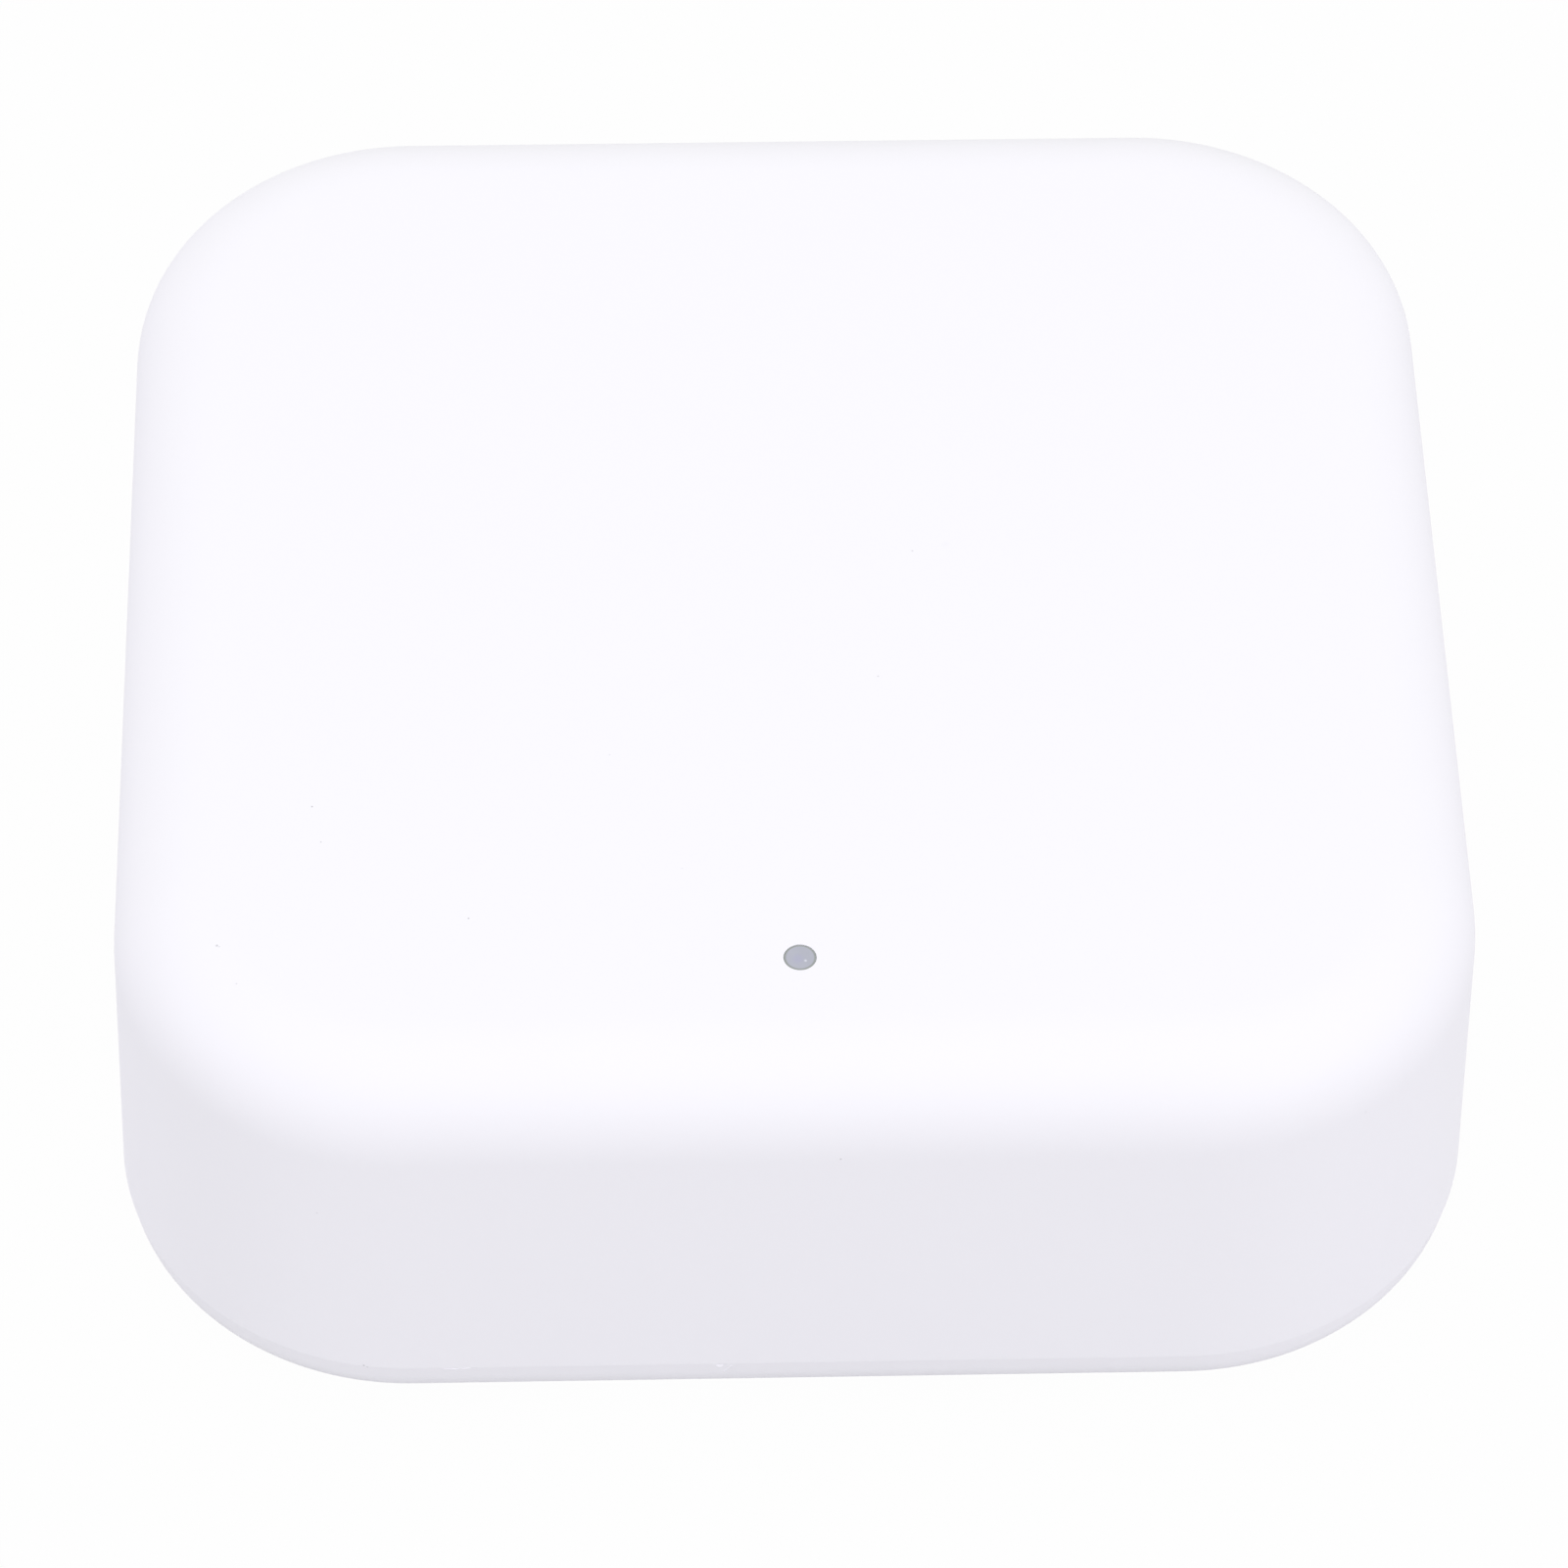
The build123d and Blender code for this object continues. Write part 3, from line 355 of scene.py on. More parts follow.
def glazed_antenna(name, colour, trace_colour):
    """White ceramic block with thin printed bands of silver round it."""
    finish = Finish(name, Specular_IOR_Level=0.5)
    bands = finish.stripes(finish.axis("Y"), 0.8 * mm, 0.28, 0.32)
    grain = finish.noise(0.12 * mm, detail=3.0)
    finish.paint(Base_Color=finish.mix(bands, shade(colour, 0.97), trace_colour), Metallic=bands * 0.9,
                 Roughness=0.42 - bands * 0.12 + grain * 0.06)
    finish.bump(bands + grain * 0.2, 0.006 * mm)
    return finish


def capacitor_sleeve(name, colour, middle, radius):
    """Bare aluminium, turned in fine rings on its top, where a dark segment marks the negative side. The
    middle and the radius are in millimetres."""
    finish = Finish(name)
    across, ahead = finish.from_spot(middle)
    reach = (across * across + ahead * ahead) ** 0.5
    rings = finish.maths("FRACT", reach * (1 / (0.12 * mm)))
    on_top = finish.axis("Z") > 15.25 * mm
    marked = on_top * (across < -0.42 * radius * mm) * (reach < 0.9 * radius * mm)
    grain = finish.noise(0.3 * mm, detail=3.0)
    bare = finish.mix(grain, shade(colour, 0.93), colour)
    finish.paint(Base_Color=finish.mix(marked, bare, tone(0.09, 0.09, 0.1)), Metallic=1 - marked,
                 Roughness=0.26 + grain * 0.14 + marked * 0.2)
    finish.bump(rings * on_top * 0.4 + grain * 0.4, 0.003 * mm)
    return finish


def lit_resin(name, colour, middle):
    """Clear resin over a yellow dot of phosphor, with the die's small square under it. The middle is in
    millimetres."""
    finish = Finish(name, Roughness=0.1, Coat_Weight=0.4)
    across, ahead = [finish.maths("ABSOLUTE", gap) for gap in finish.from_spot(middle)]
    die = 1 - finish.band(finish.maths("MAXIMUM", across, ahead), 0.22 * mm, 0.28 * mm)
    clouds = finish.noise(0.3 * mm, detail=2.0)
    body = finish.mix(clouds, shade(colour, 0.92), shade(colour, 1.06))
    finish.paint(Base_Color=finish.mix(die * 0.7, body, tone(0.80, 0.52, 0.12)))
    finish.bump(clouds, 0.002 * mm)
    return finish


finishes = {
    "white_abs": cover_white,
    "key_abs": key_white,
    "foot_rubber": rubber("foot_rubber", tone(0.27, 0.27, 0.28)),
    "screw_steel": rolled_metal("screw_steel", tone(0.62, 0.62, 0.63), 0.24, 0.1 * mm, 0.004 * mm, "Z"),
    "clear_plastic": clear_lens("lens_plastic", tone(0.70, 0.71, 0.76)),
    "board_laminate": solder_mask("board_laminate", tone(0.06, 0.26, 0.16), 0.9 * mm, 6 * mm),
    "module_laminate": solder_mask("module_laminate", tone(0.07, 0.10, 0.19), 0.6 * mm, 3.5 * mm),
    "shield_steel": rolled_metal("shield_steel", tone(0.74, 0.75, 0.76), 0.2, 0.16 * mm, 0.003 * mm, "X"),
    "copper_trace": grained("copper_trace", tone(0.82, 0.64, 0.33), 0.3, 0.1 * mm, 0.003 * mm, Metallic=1.0),
    "chip_epoxy": grained("chip_epoxy", tone(0.045, 0.045, 0.05), 0.55, 0.06 * mm, 0.006 * mm),
    "ferrite": grained("ferrite", tone(0.13, 0.13, 0.14), 0.62, 0.15 * mm, 0.014 * mm),
    "white_ceramic": glazed_antenna("white_ceramic", tone(0.86, 0.87, 0.84), tone(0.78, 0.78, 0.79)),
    "capacitor_ceramic": grained("capacitor_ceramic", tone(0.58, 0.44, 0.29), 0.45, 0.08 * mm, 0.003 * mm),
    "resistor_film": grained("resistor_film", tone(0.055, 0.055, 0.065), 0.28, 0.12 * mm, 0.001 * mm),
    "solder_tin": grained("solder_tin", tone(0.78, 0.79, 0.80), 0.24, 0.12 * mm, 0.006 * mm, Metallic=1.0),
    "can_aluminium": capacitor_sleeve("can_aluminium", tone(0.82, 0.83, 0.84), capacitor_spot,
                                      capacitor_radius),
    "black_plastic": grained("black_plastic", tone(0.06, 0.06, 0.065), 0.4, 0.1 * mm, 0.003 * mm),
    "socket_steel": rolled_metal("socket_steel", tone(0.70, 0.71, 0.72), 0.18, 0.14 * mm, 0.002 * mm, "Y"),
    "contact_gold": grained("contact_gold", tone(0.90, 0.72, 0.36), 0.2, 0.08 * mm, 0.001 * mm,
                            Metallic=1.0),
    "lamp_white": grained("lamp_white", tone(0.9, 0.9, 0.88), 0.4, 0.1 * mm, 0.001 * mm),
    "lamp_resin": lit_resin("lamp_resin", tone(0.88, 0.82, 0.50), lamp_spot),
    "plunger_plastic": grained("plunger_plastic", tone(0.12, 0.12, 0.12), 0.4, 0.1 * mm, 0.002 * mm),
    "crystal_steel": rolled_metal("crystal_steel", tone(0.78, 0.78, 0.76), 0.18, 0.1 * mm, 0.001 * mm, "X"),
}


def dress_nodes():
    """Gives every carried-over node the finish that is named like its slot."""
    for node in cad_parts.values():
        node.data.materials[0] = finishes[node.data.materials[0].name].material


# The slots' names, kept before the nodes are dressed
slot_names = {name: node.data.materials[0].name for name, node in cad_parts.items()}
dress_nodes()


# Surfaces: a profile of (outward, up) points carried round an outline, worked out as whole arrays
def rounded_outline(half_width, half_depth, corner_radius, corner_steps):
    """Points and outward normals of a rounded rectangle, anticlockwise: each corner is a quarter of a
    circle."""
    turn = np.linspace(0, math.pi / 2, corner_steps + 1)
    angles = (np.arange(4)[:, None] * math.pi / 2 + turn[None, :]).ravel()
    normals = np.stack([np.cos(angles), np.sin(angles)], axis=1)
    sides = np.repeat(np.array([[1, 1], [-1, 1], [-1, -1], [1, -1]]), corner_steps + 1, axis=0)
    centres = sides * np.array([half_width - corner_radius, half_depth - corner_radius])
    return centres + corner_radius * normals, normals


def round_outline(steps):
    """An outline with no size, whose normals point all round: what is carried round it is turned as on a
    lathe."""
    angles = np.arange(steps) * 2 * math.pi / steps
    normals = np.stack([np.cos(angles), np.sin(angles)], axis=1)
    return np.zeros((steps, 2)), normals


def arc(centre, radius, start, end, steps):
    """Profile points on a circle's arc from a start angle to an end angle, in degrees from outward to up."""
    angles = np.radians(np.linspace(start, end, steps + 1))
    return np.array(centre) + radius * np.stack([np.cos(angles), np.sin(angles)], axis=1)


def carry(outline, profile):
    """Grid of a profile carried round an outline: each profile point moves the outline along its normals by
    its first number, and lifts it to its second."""
    points, normals = outline
    out, up = np.vstack(profile).T
    flat = points[None, :, :] + out[:, None, None] * normals[None, :, :]
    level = np.broadcast_to(up[:, None, None], flat.shape[:2] + (1,))
    return np.concatenate([flat, level], axis=2)


def lay(grid, spot, across, upright):
    """A grid moved to a spot and turned: its x runs along one direction, its y along another, its z square to
    both."""
    axes = np.array([across, upright, np.cross(across, upright)], float)
    return grid @ axes + np.array(spot, float)


def grid_faces(rows, columns, first):
    """Four-sided faces of a grid that closes round its columns, and one face over each open end."""
    row = np.arange(rows - 1)[:, None] * columns
    column = np.arange(columns)[None, :]
    after = (column + 1) % columns
    quads = np.stack([row + column, row + after, row + columns + after, row + columns + column], axis=-1)
    bottom = np.arange(columns)[::-1]
    top = np.arange(columns) + (rows - 1) * columns
    return [*(quads.reshape(-1, 4) + first).tolist(), (bottom + first).tolist(), (top + first).tolist()]


def solid(name, *grids):
    """One object of closed forms, each a grid in millimetres whose first and last rows are closed by a flat
    face."""
    points = np.concatenate([grid.reshape(-1, 3) for grid in grids]) * mm
    firsts = np.cumsum([0] + [grid.shape[0] * grid.shape[1] for grid in grids])
    faces = [face for grid, first in zip(grids, firsts)
             for face in grid_faces(grid.shape[0], grid.shape[1], int(first))]
    mesh = bpy.data.meshes.new(name)
    mesh.from_pydata(points, [], faces)
    made = bpy.data.objects.new(name, mesh)
    bpy.context.scene.collection.objects.link(made)
    return made


def copy_of_node(name, node):
    """A copy of a node's mesh with its loose triangles joined and its stored normals left out."""
    source = bmesh.new()
    source.from_mesh(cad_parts[node].data)
    bmesh.ops.remove_doubles(source, verts=source.verts, dist=0.0005 * mm)
    mesh = bpy.data.meshes.new(name)
    source.to_mesh(mesh)
    source.free()
    if "custom_normal" in mesh.attributes:
        mesh.attributes.remove(mesh.attributes["custom_normal"])
    made = bpy.data.objects.new(name, mesh)
    bpy.context.scene.collection.objects.link(made)
    return made


def combine(piece, tool, operation):
    """Cuts a piece with a tool, joins the two or keeps what both hold, and takes the tool away."""
    cut = piece.modifiers.new(operation.lower(), "BOOLEAN")
    cut.operation = operation
    cut.solver = "EXACT"
    cut.object = tool
    graph = bpy.context.evaluated_depsgraph_get()
    mesh = bpy.data.meshes.new_from_object(piece.evaluated_get(graph))
    piece.modifiers.clear()
    piece.data = mesh
    bpy.data.objects.remove(tool)


sharp_edge = math.radians(35)


def settle(piece, finish, body, node):
    """Shades a finished piece smooth but for its sharp edges, paints it, and lets it stand for its node."""
    mesh = piece.data
    mesh.shade_smooth()
    mesh.set_sharp_from_angle(angle=sharp_edge)
    even = piece.modifiers.new("even_shading", "WEIGHTED_NORMAL")
    even.keep_sharp = True
    even.weight = 100
    mesh.materials.clear()
    mesh.materials.append(finish.material)
    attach(piece, body)
    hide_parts(node)
    return piece


# Housing: finer outer forms cut the parts' own meshes, so that holes, ribs and bosses stay as they are.
# Lengths from here to the floor are in millimetres, and the rim's taper is in degrees.
edge_size = 5.29
edge_power = 2.3
edge_points = 33
cover_rounding = 0.02
rim_taper = 8.0
rim_radius = 3.0
rim_centre = (-3.13, 4.045)
rim_rounding = 0.05
rim_setback = 0.04
seam_gap = 0.015
ledge_depth = 0.3
housing_outline = rounded_outline(half_width, half_width, corner_radius, 32)

# How far past the seam the outer forms run: the cover's downwards, the base plate's upwards
cover_reach = 1.0
base_reach = 2.5


def wall_face(level):
    """Distance from the middle to the fine skin of the back wall at a height."""
    return half_width - skin - (level - seam_level) * wall_lean


def cover_form():
    """The cover's outer form. Its section is a wall that leans in by a fixed slope, then a superellipse over
    the top edge: out is minus the size times one less the cosine to the power 2/p, and up the same with the
    sine."""
    turn = np.linspace(0, math.pi / 2, edge_points)
    out = -edge_size * (1 - np.cos(turn) ** (2 / edge_power))
    up = top_level - skin - edge_size * (1 - np.sin(turn) ** (2 / edge_power))
    lower = arc((-cover_rounding, seam_level + cover_rounding), cover_rounding, -90, 0, 2)
    profile = np.vstack([[(-cover_rounding, seam_level - cover_reach)], lower, np.stack([out, up], axis=1)])
    profile[:, 0] -= skin + np.maximum(profile[:, 1] - seam_level, 0) * wall_lean
    return carry(housing_outline, [profile])


def base_form():
    """The base plate's outer form: a flat underside, an arc that turns up, a short tapered rim, a rounded
    edge and a narrow ledge just under the cover, from which it stands up inside."""
    curve = arc(rim_centre, rim_radius - skin, -90, -rim_taper, 20)
    ledge = seam_level - seam_gap
    edge_out = -skin - rim_setback - rim_rounding * math.tan(math.radians(rim_taper))
    edge = arc((edge_out - rim_rounding, ledge - rim_rounding), rim_rounding, 0, 90, 8)
    inner = edge_out - rim_rounding - ledge_depth
    return carry(housing_outline, [curve, edge, [(inner, ledge), (inner, seam_level + base_reach)]])


# Rims of the cover's holes. A tool laps the hole's wall by a hair and reaches past the rounding both ways.
wall_lap = 0.02
tool_reach = 0.3
indicator_hole = round_outline(64)
indicator_hole_radius = 0.82
indicator_hole_rounding = 0.04
socket_pocket = rounded_outline(6.515, 3.615, 3.32, 16)
socket_pocket_rounding = 0.3
socket_opening = rounded_outline(4.67, 1.83, 1.8, 16)
socket_opening_rounding = 0.12
pocket_floor = 33.705
key_hole = round_outline(84)
key_hole_radius = 2.15
key_hole_rounding = 0.15
on_back_wall = ((-1, 0, 0), (0, -math.sin(wall_angle), math.cos(wall_angle)))
facing_back = ((-1, 0, 0), (0, 0, 1))


def round_over(outline, fit, radius):
    """Tool that rounds a hole's rim, its face at Z = 0: a waist that fits the hole, then a quarter of a
    circle out to the face. The fit is how far the waist lies out from the outline."""
    return carry(outline, [[(fit - wall_lap, -radius - tool_reach)],
                           arc((fit + radius, -radius), radius, 180, 90, 8), [(fit + radius, tool_reach)]])


def hole_rims():
    """The tools that soften the cover's holes: indicator, socket pocket, socket opening and reset key."""
    indicator = round_over(indicator_hole, indicator_hole_radius, indicator_hole_rounding)
    indicator = indicator + np.array((0, indicator_y, top_level)) - (0, 0, skin)
    pocket = lay(round_over(socket_pocket, 0, socket_pocket_rounding),
                 (0, wall_face(socket_level), socket_level), *on_back_wall)
    opening = lay(round_over(socket_opening, 0, socket_opening_rounding),
                  (0, pocket_floor, socket_level), *facing_back)
    key = lay(round_over(key_hole, key_hole_radius, key_hole_rounding),
              (key_spot[0], wall_face(key_spot[2]), key_spot[2]), *on_back_wall)
    return solid("hole_rims", indicator, pocket, opening, key)


cover = copy_of_node("cover", "top_cover")
combine(cover, solid("cover_form", cover_form()), "INTERSECT")
combine(cover, hole_rims(), "DIFFERENCE")
settle(cover, cover_white, "housing", "top_cover")


# Seam threads: what the parting line of the mould has left, two curls and two thin threads further left
thread_rings = 25
thread_sides = 12
threads = [([(-4.34, -34.89, 4.36), (-4.20, -34.89, 4.28), (-4.08, -34.89, 4.27),
             (-3.92, -34.89, 4.36)], 0.09),
           ([(-3.46, -34.90, 4.30), (-3.56, -34.89, 4.22), (-3.63, -34.87, 4.07), (-3.72, -34.84, 3.88),
             (-3.85, -34.80, 3.70), (-4.02, -34.77, 3.58)], 0.075),
           ([(-18.35, -34.91, 4.44), (-17.95, -34.91, 4.41), (-17.42, -34.91, 4.36)], 0.05),
           ([(-17.34, -34.91, 4.39), (-17.10, -34.91, 4.41), (-16.80, -34.91, 4.44)], 0.05)]


def thread_form(path, thickness):
    """A thread of plastic that lies on the front wall: a circle carried along a path, its radius the
    thickness times the root of a half wave, so that both ends taper."""
    path = np.array(path, float)
    length = np.concatenate([[0], np.cumsum(np.linalg.norm(np.diff(path, axis=0), axis=1))])
    share = np.linspace(0, 1, thread_rings)
    middle = np.stack([np.interp(share * length[-1], length, part) for part in path.T], axis=1)
    along = np.gradient(middle, axis=0)
    along /= np.linalg.norm(along, axis=1)[:, None]
    outward = np.array([0.0, -1.0, 0.0])
    across = np.cross(along, outward)
    turn = np.arange(thread_sides) * 2 * math.pi / thread_sides
    radius = thickness * np.sqrt(np.maximum(np.sin(math.pi * share), 0.02))
    spokes = np.cos(turn)[None, :, None] * outward + np.sin(turn)[None, :, None] * across[:, None, :]
    return middle[:, None, :] + radius[:, None, None] * spokes


base = copy_of_node("base", "base_plate")
combine(base, solid("base_form", base_form()), "INTERSECT")
combine(base, solid("seam_threads", *[thread_form(path, thickness) for path, thickness in threads]), "UNION")
settle(base, base_white, "housing", "base_plate")


# Feet: rubber discs with a rounded lower edge
foot_radius = 3.98
foot_rounding = 0.38
foot_height = 1.58
foot_chamfer = 0.08


def foot_form(spot):
    """A disc turned from its section: flat below, a quarter of a circle at the lower edge, straight up, and a
    small chamfer."""
    lower = arc((foot_radius - foot_rounding, foot_rounding), foot_rounding, -90, 0, 8)
    upper = [(foot_radius, foot_height - foot_chamfer), (foot_radius - foot_chamfer, foot_height)]
    return carry(round_outline(96), [lower, upper]) + np.array([*spot, 0.0])


feet = ("foot_rear_right", "foot_rear_left", "foot_front_left", "foot_front_right")
for node, spot in zip(feet, corner_spots):
    settle(solid(node + "_disc", foot_form(spot)), finishes["foot_rubber"], "housing", node)


# Light pipe: a stepped rod turned from its section, with eased edges and a crowned tip
crisp = 0.001
rod_radius = 1.5
rod_foot = 12.3
rod_easing = 0.15
collar_radius = 2.3
collar_level = 17.2
collar_easing = 0.1
collar_slope_top = 18.0
shoulder_level = 24.9
shoulder_easing = 0.1
tip_radius = 0.81
tip_edge = 25.925
tip_easing = 0.05
tip_top = 25.955
crown_drop = 0.03
crown_radius = 0.75
crown_radii = (0.7, 0.6, 0.5, 0.4, 0.3, 0.2, 0.1, 0.03)


def light_pipe_form():
    """The rod's section from its foot up: a rod, a collar with a sloped top, a shoulder, and a narrow tip
    whose crown falls with the square of the radius."""
    rod = arc((rod_radius - rod_easing, rod_foot + rod_easing), rod_easing, -90, 0, 3)
    under_collar = arc((rod_radius, collar_level), crisp, 0, 90, 1)
    collar = arc((collar_radius - collar_easing, collar_level + collar_easing), collar_easing, -90, 90, 6)
    shoulder = arc((rod_radius - shoulder_easing, shoulder_level - shoulder_easing), shoulder_easing,
                   0, 90, 4)
    tip = arc((tip_radius - tip_easing, tip_edge - tip_easing), tip_easing, 0, 80, 5)
    crown = [(radius, tip_top - crown_drop * (radius / crown_radius) ** 2) for radius in crown_radii]
    rows = [rod, under_collar, collar, [(rod_radius, collar_slope_top)], shoulder,
            [(tip_radius, shoulder_level)], tip, crown]
    return carry(round_outline(72), rows) + np.array([0, indicator_y, 0.0])


settle(solid("light_rod", light_pipe_form()), finishes["clear_plastic"], "housing", "light_pipe")


# Reset key: stem, flange and a round head whose face is dished for a fingertip
stem_radius = 1.2
stem_end = 30.8
stem_easing = 0.15
flange_radius = 2.7
flange_inner = 31.826
flange_outer = 32.626
flange_easing = 0.1
key_radius = 2.0
key_front = 34.95
key_easing = 0.25
dish_depth = 0.1
dish_radius = 1.65
dish_radii = (1.65, 1.4, 1.1, 0.8, 0.5, 0.25, 0.05)


def reset_key_form():
    """The key's section from its stem outwards, turned about its axis. The dish deepens with the square of
    the distance from its edge towards the middle."""
    stem = arc((stem_radius - stem_easing, stem_end + stem_easing), stem_easing, -90, 0, 3)
    inner = arc((flange_radius - flange_easing, flange_inner + flange_easing), flange_easing, -90, 0, 3)
    outer = arc((flange_radius - flange_easing, flange_outer - flange_easing), flange_easing, 0, 90, 3)
    head = arc((key_radius - key_easing, key_front - key_easing), key_easing, 0, 90, 8)
    dish = [(radius, key_front - dish_depth + dish_depth * (radius / dish_radius) ** 2)
            for radius in dish_radii]
    rows = [stem, [(stem_radius, flange_inner)], inner, outer, [(key_radius, flange_outer)], head, dish]
    return lay(carry(round_outline(96), rows), key_spot, *facing_back)


settle(solid("key_head", reset_key_form()), key_white, "key", "reset_key")


# Screws: a pan head, a shank with a helical thread, and a cross recess
screw_columns = 48
rows_per_turn = 10
head_chamfer = 0.1


def screw_form(spot, root, crest, length, head_radius, head_height, pitch):
    """One grid from the head's underside to the tip. On the shank the radius is the root plus a ridge that
    falls off with the distance from a helix, in turns: height over pitch less angle over a full turn."""
    edge = 0.35 * head_height
    head = np.vstack([arc((head_radius - edge, edge - head_height), edge, -90, 0, 6),
                      [(head_radius, -head_chamfer), (head_radius - head_chamfer, 0)]])
    head_grid = carry(round_outline(screw_columns), [head])
    level = np.linspace(0, length, int(rows_per_turn * length / pitch) + 1)[:, None]
    turn = np.arange(screw_columns)[None, :] / screw_columns
    phase = (level / pitch - turn) % 1.0
    ridge = np.clip(1 - np.abs(phase - 0.5) / 0.3, 0, 1) * np.clip(level / pitch, 0, 1)
    narrowing = np.clip((level - length + pitch) / pitch, 0, 1)
    radius = (root + (crest - root) * ridge) * (1 - 0.45 * narrowing)
    angle = 2 * math.pi * turn
    height = np.broadcast_to(level, radius.shape)
    shank_grid = np.stack([radius * np.cos(angle), radius * np.sin(angle), height], axis=2)
    return np.concatenate([head_grid, shank_grid]) + np.array(spot)


def cross_form(spot, head_radius, head_height):
    """Tool for a cross recess, half the head deep: a plus-shaped outline whose arms shorten towards its
    end."""
    long = 0.6 * head_radius
    short = 0.175 * head_radius
    outline = np.array([(long, -short), (long, short), (short, short), (short, long), (-short, long),
                        (-short, short), (-long, short), (-long, -short), (-short, -short),
                        (-short, -long), (short, -long), (short, -short)])
    sections = ((1.05, -head_height - 0.2), (1.0, -head_height), (0.6, -0.5 * head_height))
    rows = [np.column_stack([outline * share, np.full(len(outline), level)]) for share, level in sections]
    return np.stack(rows) + np.array(spot)


def settle_screws(name, node, spots, root, crest, length, head_radius, head_height, pitch):
    """Screws of one size at their spots, as one piece that stands for its node."""
    screws = solid(name, *[screw_form(spot, root, crest, length, head_radius, head_height, pitch)
                           for spot in spots])
    recesses = solid(name + "_recess", *[cross_form(spot, head_radius, head_height) for spot in spots])
    combine(screws, recesses, "DIFFERENCE")
    settle(screws, finishes["screw_steel"], "housing", node)


settle_screws("case_screw_set", "case_screws", [(x, y, 3.5) for x, y in corner_spots],
              root=1.0, crest=1.29, length=8.0, head_radius=2.3, head_height=1.6, pitch=1.0)
settle_screws("board_screw_set", "board_screws", [(24, 14.5, 8.3), (-24, -14.5, 8.3)],
              root=0.78, crest=0.99, length=6.0, head_radius=1.9, head_height=1.3, pitch=0.8)


# Inside parts: the same forms with small eased edges, as moulding, stamping and soldering leave them
flat_angle = math.radians(1)
eased_angle = math.radians(30)


def soften(node, width):
    """A copy of a node, its flat faces joined, with every edge sharper than 30 degrees rounded by a small
    bevel."""
    piece = copy_of_node(node + "_soft", node)
    shape = bmesh.new()
    shape.from_mesh(piece.data)
    bmesh.ops.dissolve_limit(shape, angle_limit=flat_angle, verts=shape.verts, edges=shape.edges)
    shape.to_mesh(piece.data)
    shape.free()
    bevel = piece.modifiers.new("eased_edges", "BEVEL")
    bevel.width = width * mm
    bevel.segments = 2
    bevel.limit_method = "ANGLE"
    bevel.angle_limit = eased_angle
    body = "plunger" if node == "switch_plunger" else "housing"
    return settle(piece, finishes[slot_names[node]], body, node)


softened = {"main_board": 0.1, "socket_shell": 0.06, "socket_insulator": 0.05, "lamp_package": 0.08,
            "lamp_terminals": 0.03, "wifi_board": 0.05, "wifi_shield": 0.08, "wifi_chip": 0.06,
            "bluetooth_board": 0.05, "bluetooth_shield": 0.08, "bluetooth_chip": 0.06,
            "bluetooth_antenna": 0.08, "capacitor_can": 0.1, "capacitor_base": 0.12,
            "regulator_body": 0.08, "regulator_leads": 0.04, "memory_chip": 0.06, "memory_leads": 0.03,
            "power_inductor": 0.12, "crystal": 0.08, "chip_resistors": 0.04, "chip_capacitors": 0.08,
            "chip_ends": 0.05, "switch_housing": 0.08, "switch_frame": 0.04, "switch_plunger": 0.06,
            "switch_terminals": 0.04}
for node, width in softened.items():
    soften(node, width)

# The snap spring, which flattens towards its feet as the plunger comes down on it, gets a mesh of its own
snap_spring = soften("switch_spring", 0.02)
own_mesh(snap_spring)


# Floor and light: a white studio, nearly even all round, with two weak lamps that shape the walls
floor_half = 3.0
floor_tone = (0.57, 0.57, 0.57, 1.0)
floor_shown = 0.98
surround_tone = (1.0, 1.0, 0.98, 1)
surround_strength = 0.957


def white_to_sight(tree, surface, weight):
    """Mixes plain white of strength 1 into a surface, only for rays that come from the camera, from gloss or
    through something clear."""
    path = tree.nodes.new("ShaderNodeLightPath")
    seen = tree.nodes.new("ShaderNodeMath")
    seen.operation = "ADD"
    tree.links.new(path.outputs["Is Camera Ray"], seen.inputs[0])
    tree.links.new(path.outputs["Is Glossy Ray"], seen.inputs[1])
    all_seen = tree.nodes.new("ShaderNodeMath")
    all_seen.operation = "ADD"
    all_seen.use_clamp = True
    tree.links.new(seen.outputs[0], all_seen.inputs[0])
    tree.links.new(path.outputs["Is Transmission Ray"], all_seen.inputs[1])
    share = tree.nodes.new("ShaderNodeMath")
    share.operation = "MULTIPLY"
    tree.links.new(all_seen.outputs[0], share.inputs[0])
    share.inputs[1].default_value = weight
    glow = tree.nodes.new("ShaderNodeEmission")
    mixed = tree.nodes.new("ShaderNodeMixShader")
    tree.links.new(share.outputs[0], mixed.inputs[0])
    tree.links.new(surface, mixed.inputs[1])
    tree.links.new(glow.outputs[0], mixed.inputs[2])
    return mixed.outputs[0]


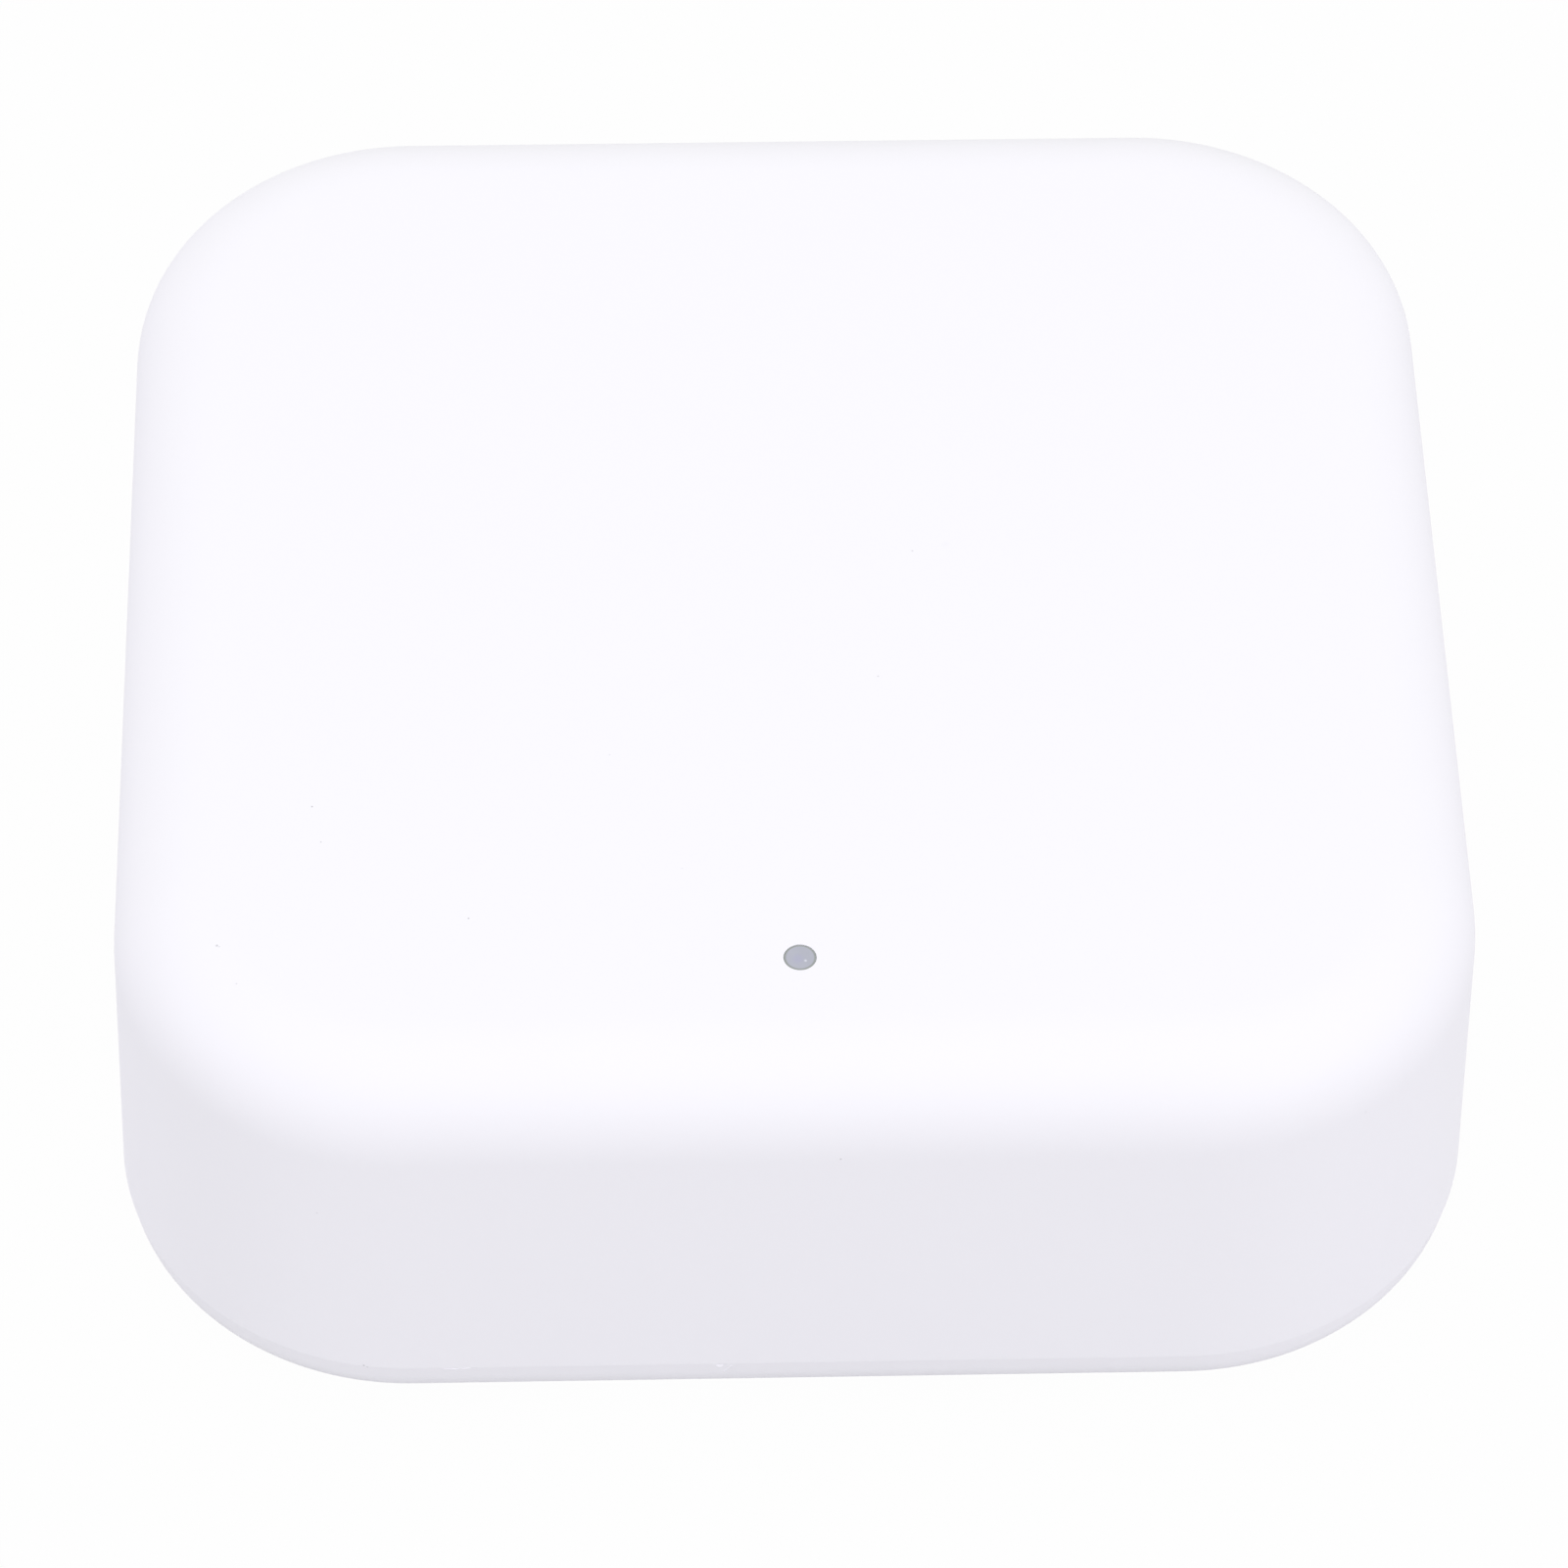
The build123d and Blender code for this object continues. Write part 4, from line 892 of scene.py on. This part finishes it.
def lay_floor():
    """A wide pale floor that keeps the hub's soft shadow."""
    mesh = bpy.data.meshes.new("floor")
    corners = [(-floor_half, -floor_half, 0), (floor_half, -floor_half, 0), (floor_half, floor_half, 0),
               (-floor_half, floor_half, 0)]
    mesh.from_pydata(corners, [], [(0, 1, 2, 3)])
    material = bpy.data.materials.new("floor")
    material.use_nodes = True
    tree = material.node_tree
    tree.nodes.clear()
    matt = tree.nodes.new("ShaderNodeBsdfDiffuse")
    matt.inputs["Color"].default_value = floor_tone
    output = tree.nodes.new("ShaderNodeOutputMaterial")
    tree.links.new(white_to_sight(tree, matt.outputs[0], floor_shown), output.inputs["Surface"])
    mesh.materials.append(material)
    floor = bpy.data.objects.new("floor", mesh)
    bpy.context.scene.collection.objects.link(floor)


def light_world():
    """An even pale surround, plain white where the camera or a gloss looks straight at it."""
    world = bpy.data.worlds.new("surround")
    world.use_nodes = True
    tree = world.node_tree
    tree.nodes.clear()
    surround = tree.nodes.new("ShaderNodeBackground")
    surround.inputs["Color"].default_value = surround_tone
    surround.inputs["Strength"].default_value = surround_strength
    output = tree.nodes.new("ShaderNodeOutputWorld")
    tree.links.new(white_to_sight(tree, surround.outputs[0], 1.0), output.inputs["Surface"])
    bpy.context.scene.world = world


def hang_lamp(name, spot, size, power, colour):
    """A square soft lamp at a spot, turned to the middle of the floor."""
    lamp = bpy.data.lights.new(name, "AREA")
    lamp.shape = "SQUARE"
    lamp.size = size
    lamp.energy = power
    lamp.color = colour
    holder = bpy.data.objects.new(name, lamp)
    holder.location = spot
    holder.rotation_euler = (-Vector(spot)).to_track_quat("-Z", "Y").to_euler()
    bpy.context.scene.collection.objects.link(holder)


lay_floor()
light_world()
hang_lamp("left_low", spot=(-1.2, -0.2, 0.45), size=0.7, power=1.75, colour=(0.79, 0.74, 1.0))
hang_lamp("right_front", spot=(0.9, -0.9, 0.6), size=0.6, power=3.05, colour=(0.865, 0.825, 1.0))

bpy.context.scene.view_settings.view_transform = "Standard"
